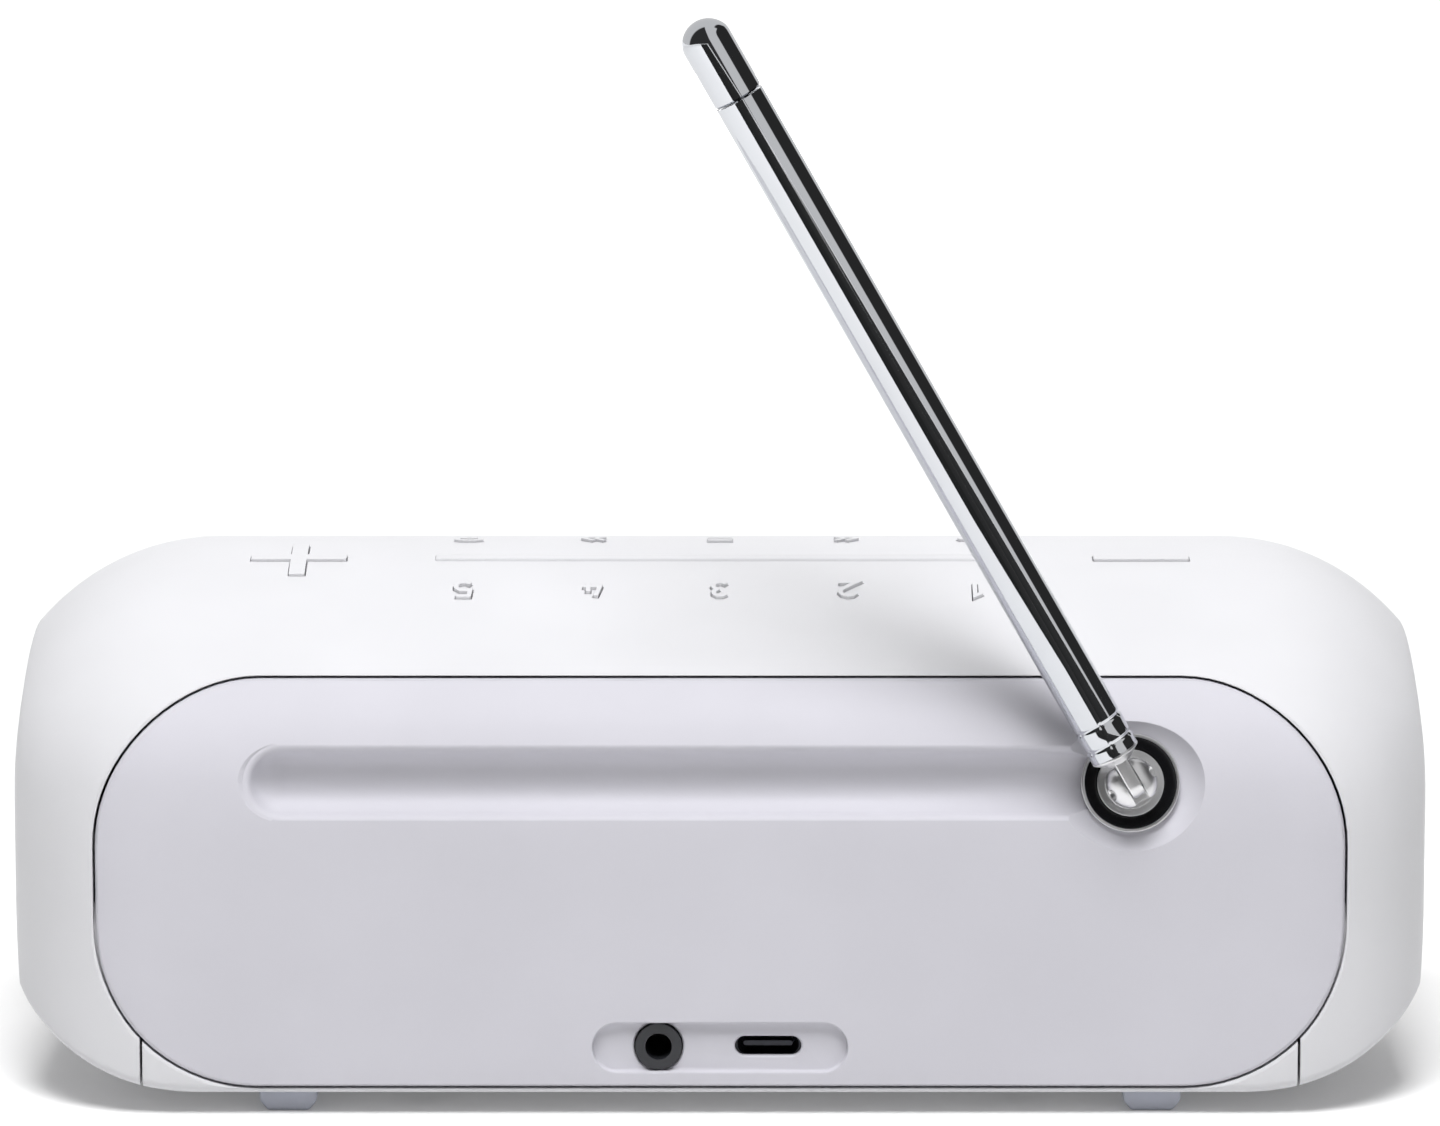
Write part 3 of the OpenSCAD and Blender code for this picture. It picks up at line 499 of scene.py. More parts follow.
STROKES = {
    "one": [[(-0.7, 1.15), (0.2, 1.82), (0.2, -1.82)]],
    "four": [[(-0.55, 1.82), (-1.1, -0.7), (1.2, -0.7)], [(0.5, 0.7), (0.5, -1.82)]],
    "back": [[(-0.1, 1.3), (-1.4, 0), (-0.1, -1.3)], [(1.4, 1.3), (0.1, 0), (1.4, -1.3)]],
    "menu": [[(-1.7, y), (1.7, y)] for y in (-1.3, 0, 1.3)],
    "forward": [[(0.1, 1.3), (1.4, 0), (0.1, -1.3)], [(-1.4, 1.3), (-0.1, 0), (-1.4, -1.3)]],
}


def bend(centre, radius, start, end, steps):
    """Points along an arc, as (x, y)."""
    angles = [math.radians(start + (end - start) * k / steps) for k in range(steps + 1)]
    return [(centre[0] + radius * math.cos(a), centre[1] + radius * math.sin(a)) for a in angles]


def strokes(symbol):
    """The centre lines of a key's raised symbol."""
    if symbol == "two":
        return [bend((0, 0.72), 1.1, 160, -30, 5) + [(-1.17, -1.82), (1.2, -1.82)]]
    if symbol == "three":
        return [bend((0, 0.92), 0.9, 150, -60, 5) + bend((0, -0.86), 0.96, 40, -150, 5)]
    if symbol == "five":
        return [[(1, 1.82), (-0.75, 1.82), (-0.9, 0.2)] + bend((0, -0.7), 1.12, 110, -145, 6)]
    if symbol == "power":
        return [bend((0, -0.2), 1.6, 140, 400, 9), [(0, 0.3), (0, 1.82)]]
    if symbol == "waves":
        dot = [(-0.33, -1.4), (0.33, -1.4)]
        return [dot, bend((0, -1.5), 1.5, 45, 135, 4), bend((0, -1.5), 2.9, 50, 130, 6)]
    return STROKES[symbol]


def ribbon(path, width, extra):
    """The outline of a stroke of that width, with mitred corners and both ends carried on by extra."""
    p = [np.array(q, float) for q in path]
    p[0] = p[0] - extra * (p[1] - p[0]) / np.linalg.norm(p[1] - p[0])
    p[-1] = p[-1] + extra * (p[-1] - p[-2]) / np.linalg.norm(p[-1] - p[-2])
    sides = ([], [])
    for i, q in enumerate(p):
        a = p[i] - p[i - 1] if i else p[1] - p[0]
        b = p[i + 1] - p[i] if i < len(p) - 1 else a
        a, b = a / np.linalg.norm(a), b / np.linalg.norm(b)
        left_a, left_b = np.array([-a[1], a[0]]), np.array([-b[1], b[0]])
        mitre = (left_a + left_b) / np.linalg.norm(left_a + left_b)
        for side, sign in zip(sides, (1, -1)):
            side.append(tuple(q + sign * mitre * width / 2 / mitre.dot(left_a)))
    return sides[0] + sides[1][::-1]


def key_tools(shape):
    """Upright cutters for the openings that the keys' symbols come through."""
    pitch, row, gap, stroke = 17.6, 11.2, 0.15, 0.65
    keys = [(s, (i - 2) * pitch, row) for i, s in enumerate(("one", "two", "three", "four", "five"))]
    keys += [(s, (i - 2) * pitch, -row) for i, s in enumerate(("power", "back", "menu", "forward", "waves"))]
    tools = []
    for symbol, x, y in keys:
        for path in strokes(symbol):
            outline = [(x + a, y + b) for a, b in ribbon(path, stroke + 2 * gap, gap)]
            tools.append(prism_z("key_tool", outline, shape.top - 12, shape.top + 5))
    long, wide, volume_x = 6.6 + gap, 1.1 + gap, 58.4
    for side in (-1, 1):
        bar = rounded(side * volume_x - long, side * volume_x + long, -wide, wide, 0.3, 4)
        tools.append(prism_z("key_tool", bar, shape.top - 12, shape.top + 5))
    upright = rounded(volume_x - wide, volume_x + wide, -long, long, 0.3, 4)
    tools.append(prism_z("key_tool", upright, shape.top - 12, shape.top + 5))
    return tools


# ---- Finishes ---------------------------------------------------------------------------------


def add(tree, kind, links=None, **settings):
    """Adds a node with its settings, and links its inputs from (node, output) pairs."""
    node = tree.nodes.new(kind)
    for key, value in settings.items():
        if hasattr(node, key):
            setattr(node, key, value)
        else:
            node.inputs[key.replace("_", " ")].default_value = value
    for key, (source, output) in (links or {}).items():
        tree.links.new(source.outputs[output], node.inputs[key])
    return node


def blank(name):
    """A new material, its tree, its shader and its coordinates."""
    material = bpy.data.materials.new(name)
    material.use_nodes = True
    tree = material.node_tree
    shader = tree.nodes["Principled BSDF"]
    place = add(tree, "ShaderNodeTexCoord")
    return material, tree, shader, place


def noise(tree, place, size, **settings):
    """Noise over the object, with features of that size in millimetres."""
    return add(tree, "ShaderNodeTexNoise", {"Vector": (place, "Object")}, Scale=1 / (size * MM), **settings)


def spread(tree, shader, factor, socket, low, high, start=0.0, end=1.0):
    """Drives one of the shader's sockets from low to high while the factor goes from start to end."""
    limits = {"From_Min": start, "From_Max": end, "To_Min": low, "To_Max": high}
    ramp = add(tree, "ShaderNodeMapRange", {"Value": factor}, **limits)
    tree.links.new(ramp.outputs["Result"], shader.inputs[socket])


def tint(tree, shader, factor, base, amount):
    """Base colour that wanders a little lighter and darker than base."""
    dark, light = (tuple(min(c * (1 + s * amount), 1) for c in base[:3]) + (1,) for s in (-1, 1))
    ramp = add(tree, "ShaderNodeValToRGB", {"Fac": factor})
    ramp.color_ramp.elements[0].position, ramp.color_ramp.elements[1].position = 0.3, 0.7
    ramp.color_ramp.elements[0].color, ramp.color_ramp.elements[1].color = dark, light
    tree.links.new(ramp.outputs["Color"], shader.inputs["Base Color"])


def relief(tree, shader, height, depth, strength=1.0, edge=0.0):
    """Bump of a depth in millimetres, over edges rounded by a radius in millimetres."""
    links = {"Height": height}
    if edge:
        links["Normal"] = (add(tree, "ShaderNodeBevel", samples=6, Radius=edge * MM), "Normal")
    bump = add(tree, "ShaderNodeBump", links, Strength=strength, Distance=depth * MM)
    tree.links.new(bump.outputs["Normal"], shader.inputs["Normal"])


def moulded(name, base, grain, depth, rough, edge=0.2, ior=1.53, wander=0.02):
    """Injection moulded plastic or rubber with an eroded grain of that size in millimetres."""
    material, tree, shader, place = blank(name)
    shader.inputs["IOR"].default_value = ior
    spark = noise(tree, place, grain, Detail=3.0, Roughness=0.6)
    cloud = noise(tree, place, 23, Detail=2.0)
    tint(tree, shader, (cloud, "Fac"), base, wander)
    spread(tree, shader, (spark, "Fac"), "Roughness", rough - 0.07, rough + 0.07)
    relief(tree, shader, (spark, "Fac"), depth, 1.0, edge)
    return material


def plated(name, base, rough, draw=0.0, edge=0.0, wave=0.0):
    """Plated metal: faint lines left by polishing or turning, and a very slight unevenness."""
    material, tree, shader, place = blank(name)
    shader.inputs["Metallic"].default_value = 1.0
    haze = noise(tree, place, 9, Detail=4.0)
    tint(tree, shader, (haze, "Fac"), base, 0.015)
    spread(tree, shader, (haze, "Fac"), "Roughness", max(rough - 0.02, 0.01), rough + 0.03)
    lines = noise(tree, place, 0.25 if draw else 6, Detail=2.0)
    relief(tree, shader, (lines, "Fac"), draw or wave or 0.0005, 1.0, edge)
    return material


def finish(name):
    """The named finish, made the first time that it's asked for."""
    if name in bpy.data.materials:
        return bpy.data.materials[name]
    f = finishes()
    if name == "abs_white_satin":
        # ABS moulded in a spark-eroded tool: an even satin with a grain that only shows close by.
        return moulded(name, f.shell, 0.35, 0.006, 0.42)
    if name == "abs_key_satin":
        # The same ABS with a smoother face, so a key's symbol catches a slightly crisper light.
        return moulded(name, f.shell, 0.3, 0.004, 0.36, 0.12)
    if name == "abs_lavender_satin":
        # ABS tinted a cool pale grey, matter than the shells.
        return moulded(name, f.panel, 0.4, 0.008, 0.46)
    if name == "rubber_grey_matte":
        # Thermoplastic rubber: matt, with a coarse grain and no clear reflection.
        return moulded(name, f.rubber, 0.5, 0.02, 0.72, 0.25, 1.5, 0.05)
    if name == "nylon_black_satin":
        # Nylon of the headphone socket: near black with a soft sheen.
        return moulded(name, linear("#232428"), 0.3, 0.004, 0.35, 0.12, 1.53, 0.05)
    if name == "acetal_black_gloss":
        # Acetal bush turned smooth: black, with a bright clear edge.
        return moulded(name, linear("#0C0C0E"), 0.6, 0.001, 0.16, 0.1, 1.48, 0.05)
    if name == "abs_graphite":
        # Plain moulded ABS of the inner brackets.
        return moulded(name, linear("#3A3C41"), 0.4, 0.01, 0.5)
    if name == "chrome_polished":
        # Bright chromium over polished brass: a mirror, with barely any waviness.
        return plated(name, f.chrome, 0.045, wave=0.0012)
    if name == "nickel_turned":
        # Satin nickel plate on turned brass: light and even, without chrome's dark bands.
        return plated(name, linear("#E2E2E3"), 0.34, edge=0.12, wave=0.001)
    if name == "steel_zinc":
        # Zinc plated screw steel, with fine turning marks.
        return plated(name, linear("#A9ABB0"), 0.3, draw=0.004, edge=0.1)
    if name == "steel_dark_plated":
        # The charging socket's shell: dark nickel on formed steel.
        return plated(name, linear("#3A3B3F"), 0.3, draw=0.002, edge=0.08)
    if name == "tinplate":
        # Tinned steel of the tuner's screening can.
        return plated(name, linear("#C6C8CB"), 0.28, draw=0.003, edge=0.1)
    return inner_finish(name)


def inner_finish(name):
    """The finishes of the front and of the parts inside."""
    if name == "steel_powder_coated":
        # Powder coat on punched steel: an even satin with a slight orange peel.
        return moulded(name, finishes().grille, 0.9, 0.012, 0.45, 0.12, 1.5)
    if name == "acrylic_smoked":
        # Smoked acrylic lens: deep and glossy, with a clear reflection.
        material, tree, shader, place = blank(name)
        dust = noise(tree, place, 4, Detail=6.0)
        tint(tree, shader, (dust, "Fac"), linear("#0B0C10"), 0.2)
        spread(tree, shader, (dust, "Fac"), "Roughness", 0.03, 0.08)
        shader.inputs["IOR"].default_value = 1.49
        relief(tree, shader, (dust, "Fac"), 0.0004, 1.0, 0.25)
        return material
    if name == "cloth_acoustic":
        # Plain woven polyester behind the grille: threads 0.4 mm apart, soft and without shine.
        material, tree, shader, place = blank(name)
        thread, where = 1 / (0.4 * MM) / 20, {"Vector": (place, "Object")}
        across = add(tree, "ShaderNodeTexWave", where, bands_direction="X", Scale=thread)
        down = add(tree, "ShaderNodeTexWave", where, bands_direction="Z", Scale=thread)
        weave = add(tree, "ShaderNodeMath", {0: (across, "Fac"), 1: (down, "Fac")}, operation="MAXIMUM")
        tint(tree, shader, (weave, "Value"), linear("#3B3C42"), 0.25)
        shader.inputs["Roughness"].default_value = 0.95
        shader.inputs["Sheen Weight"].default_value = 0.3
        relief(tree, shader, (weave, "Value"), 0.06)
        return material
    if name == "paper_cone":
        # Pressed paper pulp: fibres and a dull surface.
        material, tree, shader, place = blank(name)
        fibre = noise(tree, place, 0.8, Detail=8.0, Distortion=1.5)
        tint(tree, shader, (fibre, "Fac"), linear("#33343A"), 0.2)
        shader.inputs["Roughness"].default_value = 0.9
        relief(tree, shader, (fibre, "Fac"), 0.05)
        return material
    if name == "ferrite_ground":
        # Ground ferrite: dense dark grey with a granular break of light.
        return moulded(name, linear("#35363A"), 0.5, 0.01, 0.5, 0.2, 2.2, 0.1)
    if name == "solder_mask_green":
        # Solder mask over copper tracks: glossy green with slightly raised lines.
        material, tree, shader, place = blank(name)
        where = {"Vector": (place, "Object")}
        tracks = add(tree, "ShaderNodeTexBrick", where, Scale=1 / (6 * MM), Mortar_Size=0.04)
        tracks.inputs["Color1"].default_value = (*linear("#1C6B45"), 1)
        tracks.inputs["Color2"].default_value = (*linear("#17603D"), 1)
        tracks.inputs["Mortar"].default_value = (*linear("#2C8A5C"), 1)
        tree.links.new(tracks.outputs["Color"], shader.inputs["Base Color"])
        shader.inputs["Roughness"].default_value = 0.28
        relief(tree, shader, (tracks, "Fac"), 0.03)
        return material
    if name == "sleeve_blue":
        # Shrunk PVC sleeve of the battery cell: smooth and tight, with faint draw marks.
        return moulded(name, linear("#2F63A8"), 2.5, 0.01, 0.25, 0.3)
    if name == "pvc_red":
        # PVC insulation of the speaker and battery leads.
        return moulded(name, linear("#B3242A"), 0.6, 0.005, 0.4, 0)
    if name == "pvc_black":
        # PVC insulation of the antenna's lead.
        return moulded(name, linear("#17181A"), 0.6, 0.005, 0.4, 0)
    raise RuntimeError(f"there is no finish called {name}")


# ---- Pieces -----------------------------------------------------------------------------------


class RADIO_OT_shells(bpy.types.Operator):
    """Moulds the wrap-round shell and the base tray"""

    bl_idname = "radio.shells"
    bl_label = "Shells"

    def execute(self, context):
        shape = Shape()
        guide = shape.loft("guide", 0)
        wrap = shape.skin("wrap", 0, shape.wall)
        half, base_top = 78.3, shape.low + 8
        low_box = [(-20 - FAR, -9), (FAR, -9), (FAR, base_top), (-20 - FAR, base_top)]
        carve(wrap, prism_x("base_zone", low_box, -half, half))
        carve(wrap, shape.panel_zone("panel_zone", shape.seam / 2))
        carve(wrap, prism_y("grille_zone", shape.grille_outline(), -FAR, shape.front + shape.wall + 1))
        lip, across = shape.panel_outline(0), details().lip / MM
        carve(wrap, shape.seam_tool(guide, lip, across, across * 0.55))
        for tool in key_tools(shape):
            carve(wrap, tool)
        ridge = self.ridge(shape)
        carve(wrap, ridge, "UNION")
        smooth(wrap, guide)
        place(wrap, "housing", finish("abs_white_satin"), "wrap_shell", "wrap_shell")

        base = shape.skin("base", 0, shape.wall)
        low_box = [(-FAR, -9), (FAR, -9), (FAR, base_top - shape.seam), (-FAR, base_top - shape.seam)]
        inner = half - shape.seam
        carve(base, prism_x("base_zone", low_box, -inner, inner), "INTERSECT")
        carve(base, shape.panel_zone("panel_zone", shape.seam / 2))
        carve(base, prism_y("grille_zone", shape.grille_outline(), -FAR, shape.front + shape.wall + 1))
        carve(base, shape.seam_tool(guide, lip, across, across * 0.55))
        mouth, ledge = shape.low - 0.2, shape.low + 2
        seat = [(0, -9), (3.3, -9), (3.3, mouth), (3, shape.low + 0.3)]
        seat += [(3, ledge), (1.7, ledge), (1.7, 12), (0, 12)]
        for x in (-40, 40):
            for y in (-3, 27):
                spot = Matrix.Translation((x * MM, y * MM, 0))
                carve(base, lathe("seat", eased(seat, 0.05, 2), spot, 48))
        smooth(base, guide)
        place(base, "housing", finish("abs_white_satin"), "base_shell", "base_shell")
        bpy.data.objects.remove(guide)
        return {"FINISHED"}

    def ridge(self, shape):
        """The raised bar between the two rows of keys."""
        half, wide, raised, soft = 39.5, 1.1, 0.4, 0.3
        crest, radius = shape.crown_c, shape.crown
        over = []
        for y in np.linspace(-wide + soft, wide - soft, 5):
            over.append((y, crest[1] + math.sqrt((radius + raised) ** 2 - (y - crest[0]) ** 2)))
        left, right = (-wide, over[0][1] - soft), (wide, over[-1][1] - soft)
        section = [(-wide, 69), (wide, 69), right, (wide - 0.09, right[1] + 0.2)]
        section += [*over[::-1], (-wide + 0.09, left[1] + 0.2), left]
        loops = []
        ends = ((-half, 0.6), (-half + 0.1, 0.25), (-half + 0.35, 0))
        ends += ((half - 0.35, 0), (half - 0.1, 0.25), (half, 0.6))
        for x, shrink in ends:
            narrow = 1 - shrink * 0.4
            loops.append([(x, y * narrow, z - (shrink * 0.5 if z > 69.01 else 0)) for y, z in section])
        return bridge("ridge", loops)


class RADIO_OT_rear_panel(bpy.types.Operator):
    """Moulds the rear panel with its groove, dish and socket recess"""

    bl_idname = "radio.rear_panel"
    bl_label = "Rear panel"

    def execute(self, context):
        shape, d = Shape(), details()
        guide = shape.loft("guide", 0)
        panel = shape.skin("rear_cover", 0, shape.wall)
        carve(panel, shape.panel_zone("panel_zone", -shape.seam / 2), "INTERSECT")
        pivot = pivot_matrix()
        groove, wall, run = d.groove / MM, 1.2, 118.4
        dish = d.dish / MM
        backing = self.channel("backing", groove + wall, run - groove, shape)
        boss = lathe("boss", [(0, -5.4), (dish + wall, -5.4), (dish + wall, 0.5), (0, 0.5)], pivot)
        carve(backing, boss, "UNION")
        carve(backing, shape.loft("inside", shape.wall / 2), "INTERSECT")
        carve(panel, backing, "UNION")
        carve(panel, self.channel("groove_tool", groove, run - groove, shape, d.groove_lip / MM))
        floor, lip = -2.6, 0.9
        bowl = [(0, floor), (dish - 2.9, floor)]
        for u in np.linspace(0.1, 1, 12):
            bowl.append((dish - 2.9 + 3.4 * u, floor + 2.75 * (u**2.1 * 0.75 + u * 0.25)))
        bowl += [(dish + lip + 0.5, 0.6), (dish + lip + 1, 6), (0, 6)]
        carve(panel, lathe("bowl", bowl, pivot, 128))
        carve(panel, lathe("bush_bore", [(0, -9), (4.35, -9), (4.35, 0), (0, 0)], pivot))
        self.sockets(panel, shape)
        across = d.lip / MM
        carve(panel, shape.seam_tool(guide, shape.panel_outline(0), across, across * 0.55))
        smooth(panel, guide, 40)
        place(panel, "housing", finish("abs_lavender_satin"), "rear_panel", "rear_panel")
        bpy.data.objects.remove(guide)
        return {"FINISHED"}

    def channel(self, name, radius, run, shape, lip=0.0):
        """A half-round channel from the pivot to a round end, with flared lips if lip isn't 0."""
        side = []
        for radius_of_face in (shape.shoulder, shape.haunch):
            if lip:
                begin = 24
                low = self.quarter(radius, 90 - begin, 16)
                rim = -sag(radius_of_face, radius + lip)
                start, end = np.array(low[-1]), np.array([radius + lip, rim + 0.02])
                knee = np.array([radius + 0.05, -sag(radius_of_face, radius)])
                for u in np.linspace(0.12, 1, 8):
                    low.append(tuple((1 - u) ** 2 * start + 2 * u * (1 - u) * knee + u * u * end))
                low.append((radius + lip + 0.6, rim + 0.5))
            else:
                low = self.quarter(radius, 90, 20)
            side.append(low + [(low[-1][0], 5)])
        right, left = side[0], [(-u, n) for u, n in side[1]]
        section = left[::-1] + right[1:]
        straight = [[(-x, u, n) for u, n in section] for x in (0, run)]
        steps = 24
        half = len(left)
        end_loops = []
        for k in range(1, steps):
            a = math.radians(180 * k / steps)
            blend = (1 - math.cos(a)) / 2
            keep = 1 - blend
            arm = [(keep * r[0] - blend * l[0], keep * r[1] + blend * l[1]) for r, l in zip(right, left)]
            end_loops.append([(-run - reach * math.sin(a), reach * math.cos(a), n) for reach, n in arm])
        trough = bridge(name, straight, pivot_matrix())
        points = [(-run, 0, right[0][1])]
        rows = [[(-run, u, n) for u, n in right]] + end_loops + [[(-run, u, n) for u, n in left]]
        count = half - 1
        for row in rows:
            points += row[1:]
        centre_top = len(points)
        points.append((-run, 0, 5))
        faces = []
        for i in range(len(rows) - 1):
            a, b = 1 + i * count, 1 + (i + 1) * count
            faces.append((0, a, b))
            faces += [(a + j, a + j + 1, b + j + 1, b + j) for j in range(count - 1)]
            faces.append((a + count - 1, centre_top, b + count - 1))
        first, last = 1, 1 + (len(rows) - 1) * count
        faces.append((0, *range(first, first + count), centre_top, *range(last + count - 1, last - 1, -1)))
        cup = solid(name + "_end", points, faces, pivot_matrix())
        outward(cup)
        return carve(trough, cup, "UNION")

    def quarter(self, radius, sweep, count):
        """Points of a groove's round floor, from its lowest point out to sweep degrees."""
        angles = [math.radians(-90 + a) for a in np.linspace(0, sweep, count)]
        return [(radius * math.cos(a), radius * math.sin(a)) for a in angles]

    def sockets(self, panel, shape):
        """The shallow recess and the two openings in it."""
        port_z, jack_x, slot_x, face = 9.4, 8.3, -6.5, 36.8
        loops, back = [], shape.rear
        eases = ((face, -0.3), (face + 0.1, -0.08), (face + 0.35, 0))
        eases += ((back - 0.3, 0), (back - 0.08, 0.08), (back + 0.15, 0.5))
        for y, grow in eases:
            loops.append([(x, y, z) for x, z in stadium(34.4 + 2 * grow, 6.7 + 2 * grow, (0, port_z))])
        carve(panel, bridge("recess", loops))
        jack, slot = [], []
        for y, grow in ((30, 0), (face - 0.22, 0), (face + 0.3, 0.5)):
            jack.append([(x, y, z) for x, z in circle(3.3 + grow, (jack_x, port_z))])
            slot.append([(x, y, z) for x, z in stadium(9 + 2 * grow, 2.7 + 2 * grow, (slot_x, port_z))])
        carve(panel, bridge("jack_hole", jack))
        carve(panel, bridge("slot_hole", slot))


class RADIO_OT_front(bpy.types.Operator):
    """Punches the front grille and finishes the cloth, the lens and the baffle"""

    bl_idname = "radio.front"
    bl_label = "Front"

    def execute(self, context):
        shape, d = Shape(), details()
        guide = shape.loft("guide", 0.5)
        grille = shape.skin("grille", 0.5, 1.3)
        carve(grille, prism_y("edge", shape.grille_outline(-0.2), -FAR, shape.front + 4.3), "INTERSECT")
        low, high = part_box("display_lens")
        x1, z0, z1 = high.x / MM, low.z / MM, high.z / MM
        carve(grille, prism_y("window", rounded(-x1 - 0.2, x1 + 0.2, z0 - 0.2, z1 + 0.2, 2.2, 8), -FAR, 0))
        carve(grille, self.holes(shape, x1, z0, z1))
        smooth(grille, guide)
        place(grille, "housing", finish("steel_powder_coated"), "front_grille", "front_grille")
        bpy.data.objects.remove(guide)
        dress(finish("cloth_acoustic"), "grille_cloth")
        dress(finish("acrylic_smoked"), "display_lens", "display_module")
        dress(finish("abs_graphite"), "front_baffle")
        return {"FINISHED"}

    def holes(self, shape, lens_x, z0, z1):
        """One mesh of many small pegs, for the rows of round holes."""
        radius, pitch = details().hole / 2 / MM, details().pitch / MM
        rise = pitch * math.sqrt(3) / 2
        bottom, top, corner, inset = shape.grille_low, shape.grille_top(), shape.grille_corner, 2.4
        middle = (bottom + top) / 2
        rows = int((top - bottom) / 2 / rise)
        sides, points, faces = 12, [], []
        angles = np.linspace(0, 2 * math.pi, sides, endpoint=False)
        rim = [(k, (k + 1) % sides) for k in range(sides)]
        for j in range(-rows, rows + 1):
            z = middle + j * rise
            for i in range(-40, 41):
                x = (i + (j % 2) / 2) * pitch
                dx = max(abs(x) - (shape.grille_half - corner), 0)
                dz = max(abs(z - middle) - ((top - bottom) / 2 - corner), 0)
                if math.hypot(dx, dz) > corner - inset:
                    continue
                if abs(x) < lens_x + 2.2 and z0 - 2.2 < z < z1 + 2.2:
                    continue
                start = len(points)
                back = start + sides
                for y in (-45.0, shape.front + 9):
                    points += [(x + radius * math.cos(a), y, z + radius * math.sin(a)) for a in angles]
                faces += [(start + k, start + j, back + j, back + k) for k, j in rim]
                faces += [tuple(range(back - 1, start - 1, -1)), tuple(range(back, back + sides))]
        pegs = solid("pegs", points, faces)
        outward(pegs)
        return pegs


class RADIO_OT_keys(bpy.types.Operator):
    """Finishes the keys, their switches and the keypad's board"""

    bl_idname = "radio.keys"
    bl_label = "Keys"

    def execute(self, context):
        keys = [n for n in frame["nodes"] if n.endswith("_key") or n.startswith("preset_key")]
        dress(finish("abs_key_satin"), *keys)
        dress(finish("nylon_black_satin"), "key_switches")
        dress(finish("solder_mask_green"), "keypad_board")
        return {"FINISHED"}


class RADIO_OT_feet(bpy.types.Operator):
    """Moulds the two rubber runners and finishes the base's screws"""

    bl_idname = "radio.feet"
    bl_label = "Feet"

    def execute(self, context):
        low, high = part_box("rubber_feet")
        half, top = 3.9, high.z / MM
        waist = top * 0.45
        section = [(-half, top), (-half, waist), (-half + 1.1, 0), (half - 1.1, 0), (half, waist), (half, top)]
        parts = []
        for side in (-1, 1):
            outline = [(side * 58.5 + x, z) for x, z in section]
            parts.append(bevelled(prism_y("runner", outline, low.y / MM, high.y / MM), 0.5, 20, 4))
        feet = carve(parts[0], parts[1], "UNION")
        feet.name = "runners"
        smooth(feet, None, 30)
        place(feet, "housing", finish("rubber_grey_matte"), "rubber_feet", "rubber_feet")
        dress(finish("steel_zinc"), "base_screws", "board_screws", "driver_screws")
        return {"FINISHED"}


class RADIO_OT_sockets(bpy.types.Operator):
    """Finishes the headphone and charging sockets and their board"""

    bl_idname = "radio.sockets"
    bl_label = "Sockets"

    def execute(self, context):
        dress(finish("nylon_black_satin"), "aux_jack")
        dress(finish("steel_dark_plated"), "usb_c_socket")
        dress(finish("solder_mask_green"), "io_board")
        return {"FINISHED"}


def joint(name):
    return next(j for j in frame["joints"] if j["name"] == name)


def axes(origin, x, z):
    """A matrix with its X and Z axes along two directions at right angles."""
    x, z = Vector(x).normalized(), Vector(z).normalized()
    y = z.cross(x)
    matrix = Matrix((x, y, z)).transposed().to_4x4()
    matrix.translation = Vector(origin)
    return matrix


def pivot_matrix():
    """The pivot's frame: x to the right seen from behind, y up the panel, z out of it."""
    turn = joint("antenna_turn")
    return axes(turn["pos_m"], (-1, 0, 0), -Vector(turn["axis"]))


def swivel_matrix():
    """The swivel's frame: x towards the raised antenna, z out of the panel, origin in the pivot."""
    turn, tilt = joint("antenna_turn"), joint("antenna_tilt")
    out = -Vector(turn["axis"])
    return axes(turn["pos_m"], Vector(tilt["axis"]).cross(out) * -1, out)


def antenna_matrix():
    """The antenna's frame: z runs along it from the hinge pin."""
    tilt, slide = joint("antenna_tilt"), joint("section_2_slide")
    return axes(tilt["pos_m"], tilt["axis"], slide["axis"])


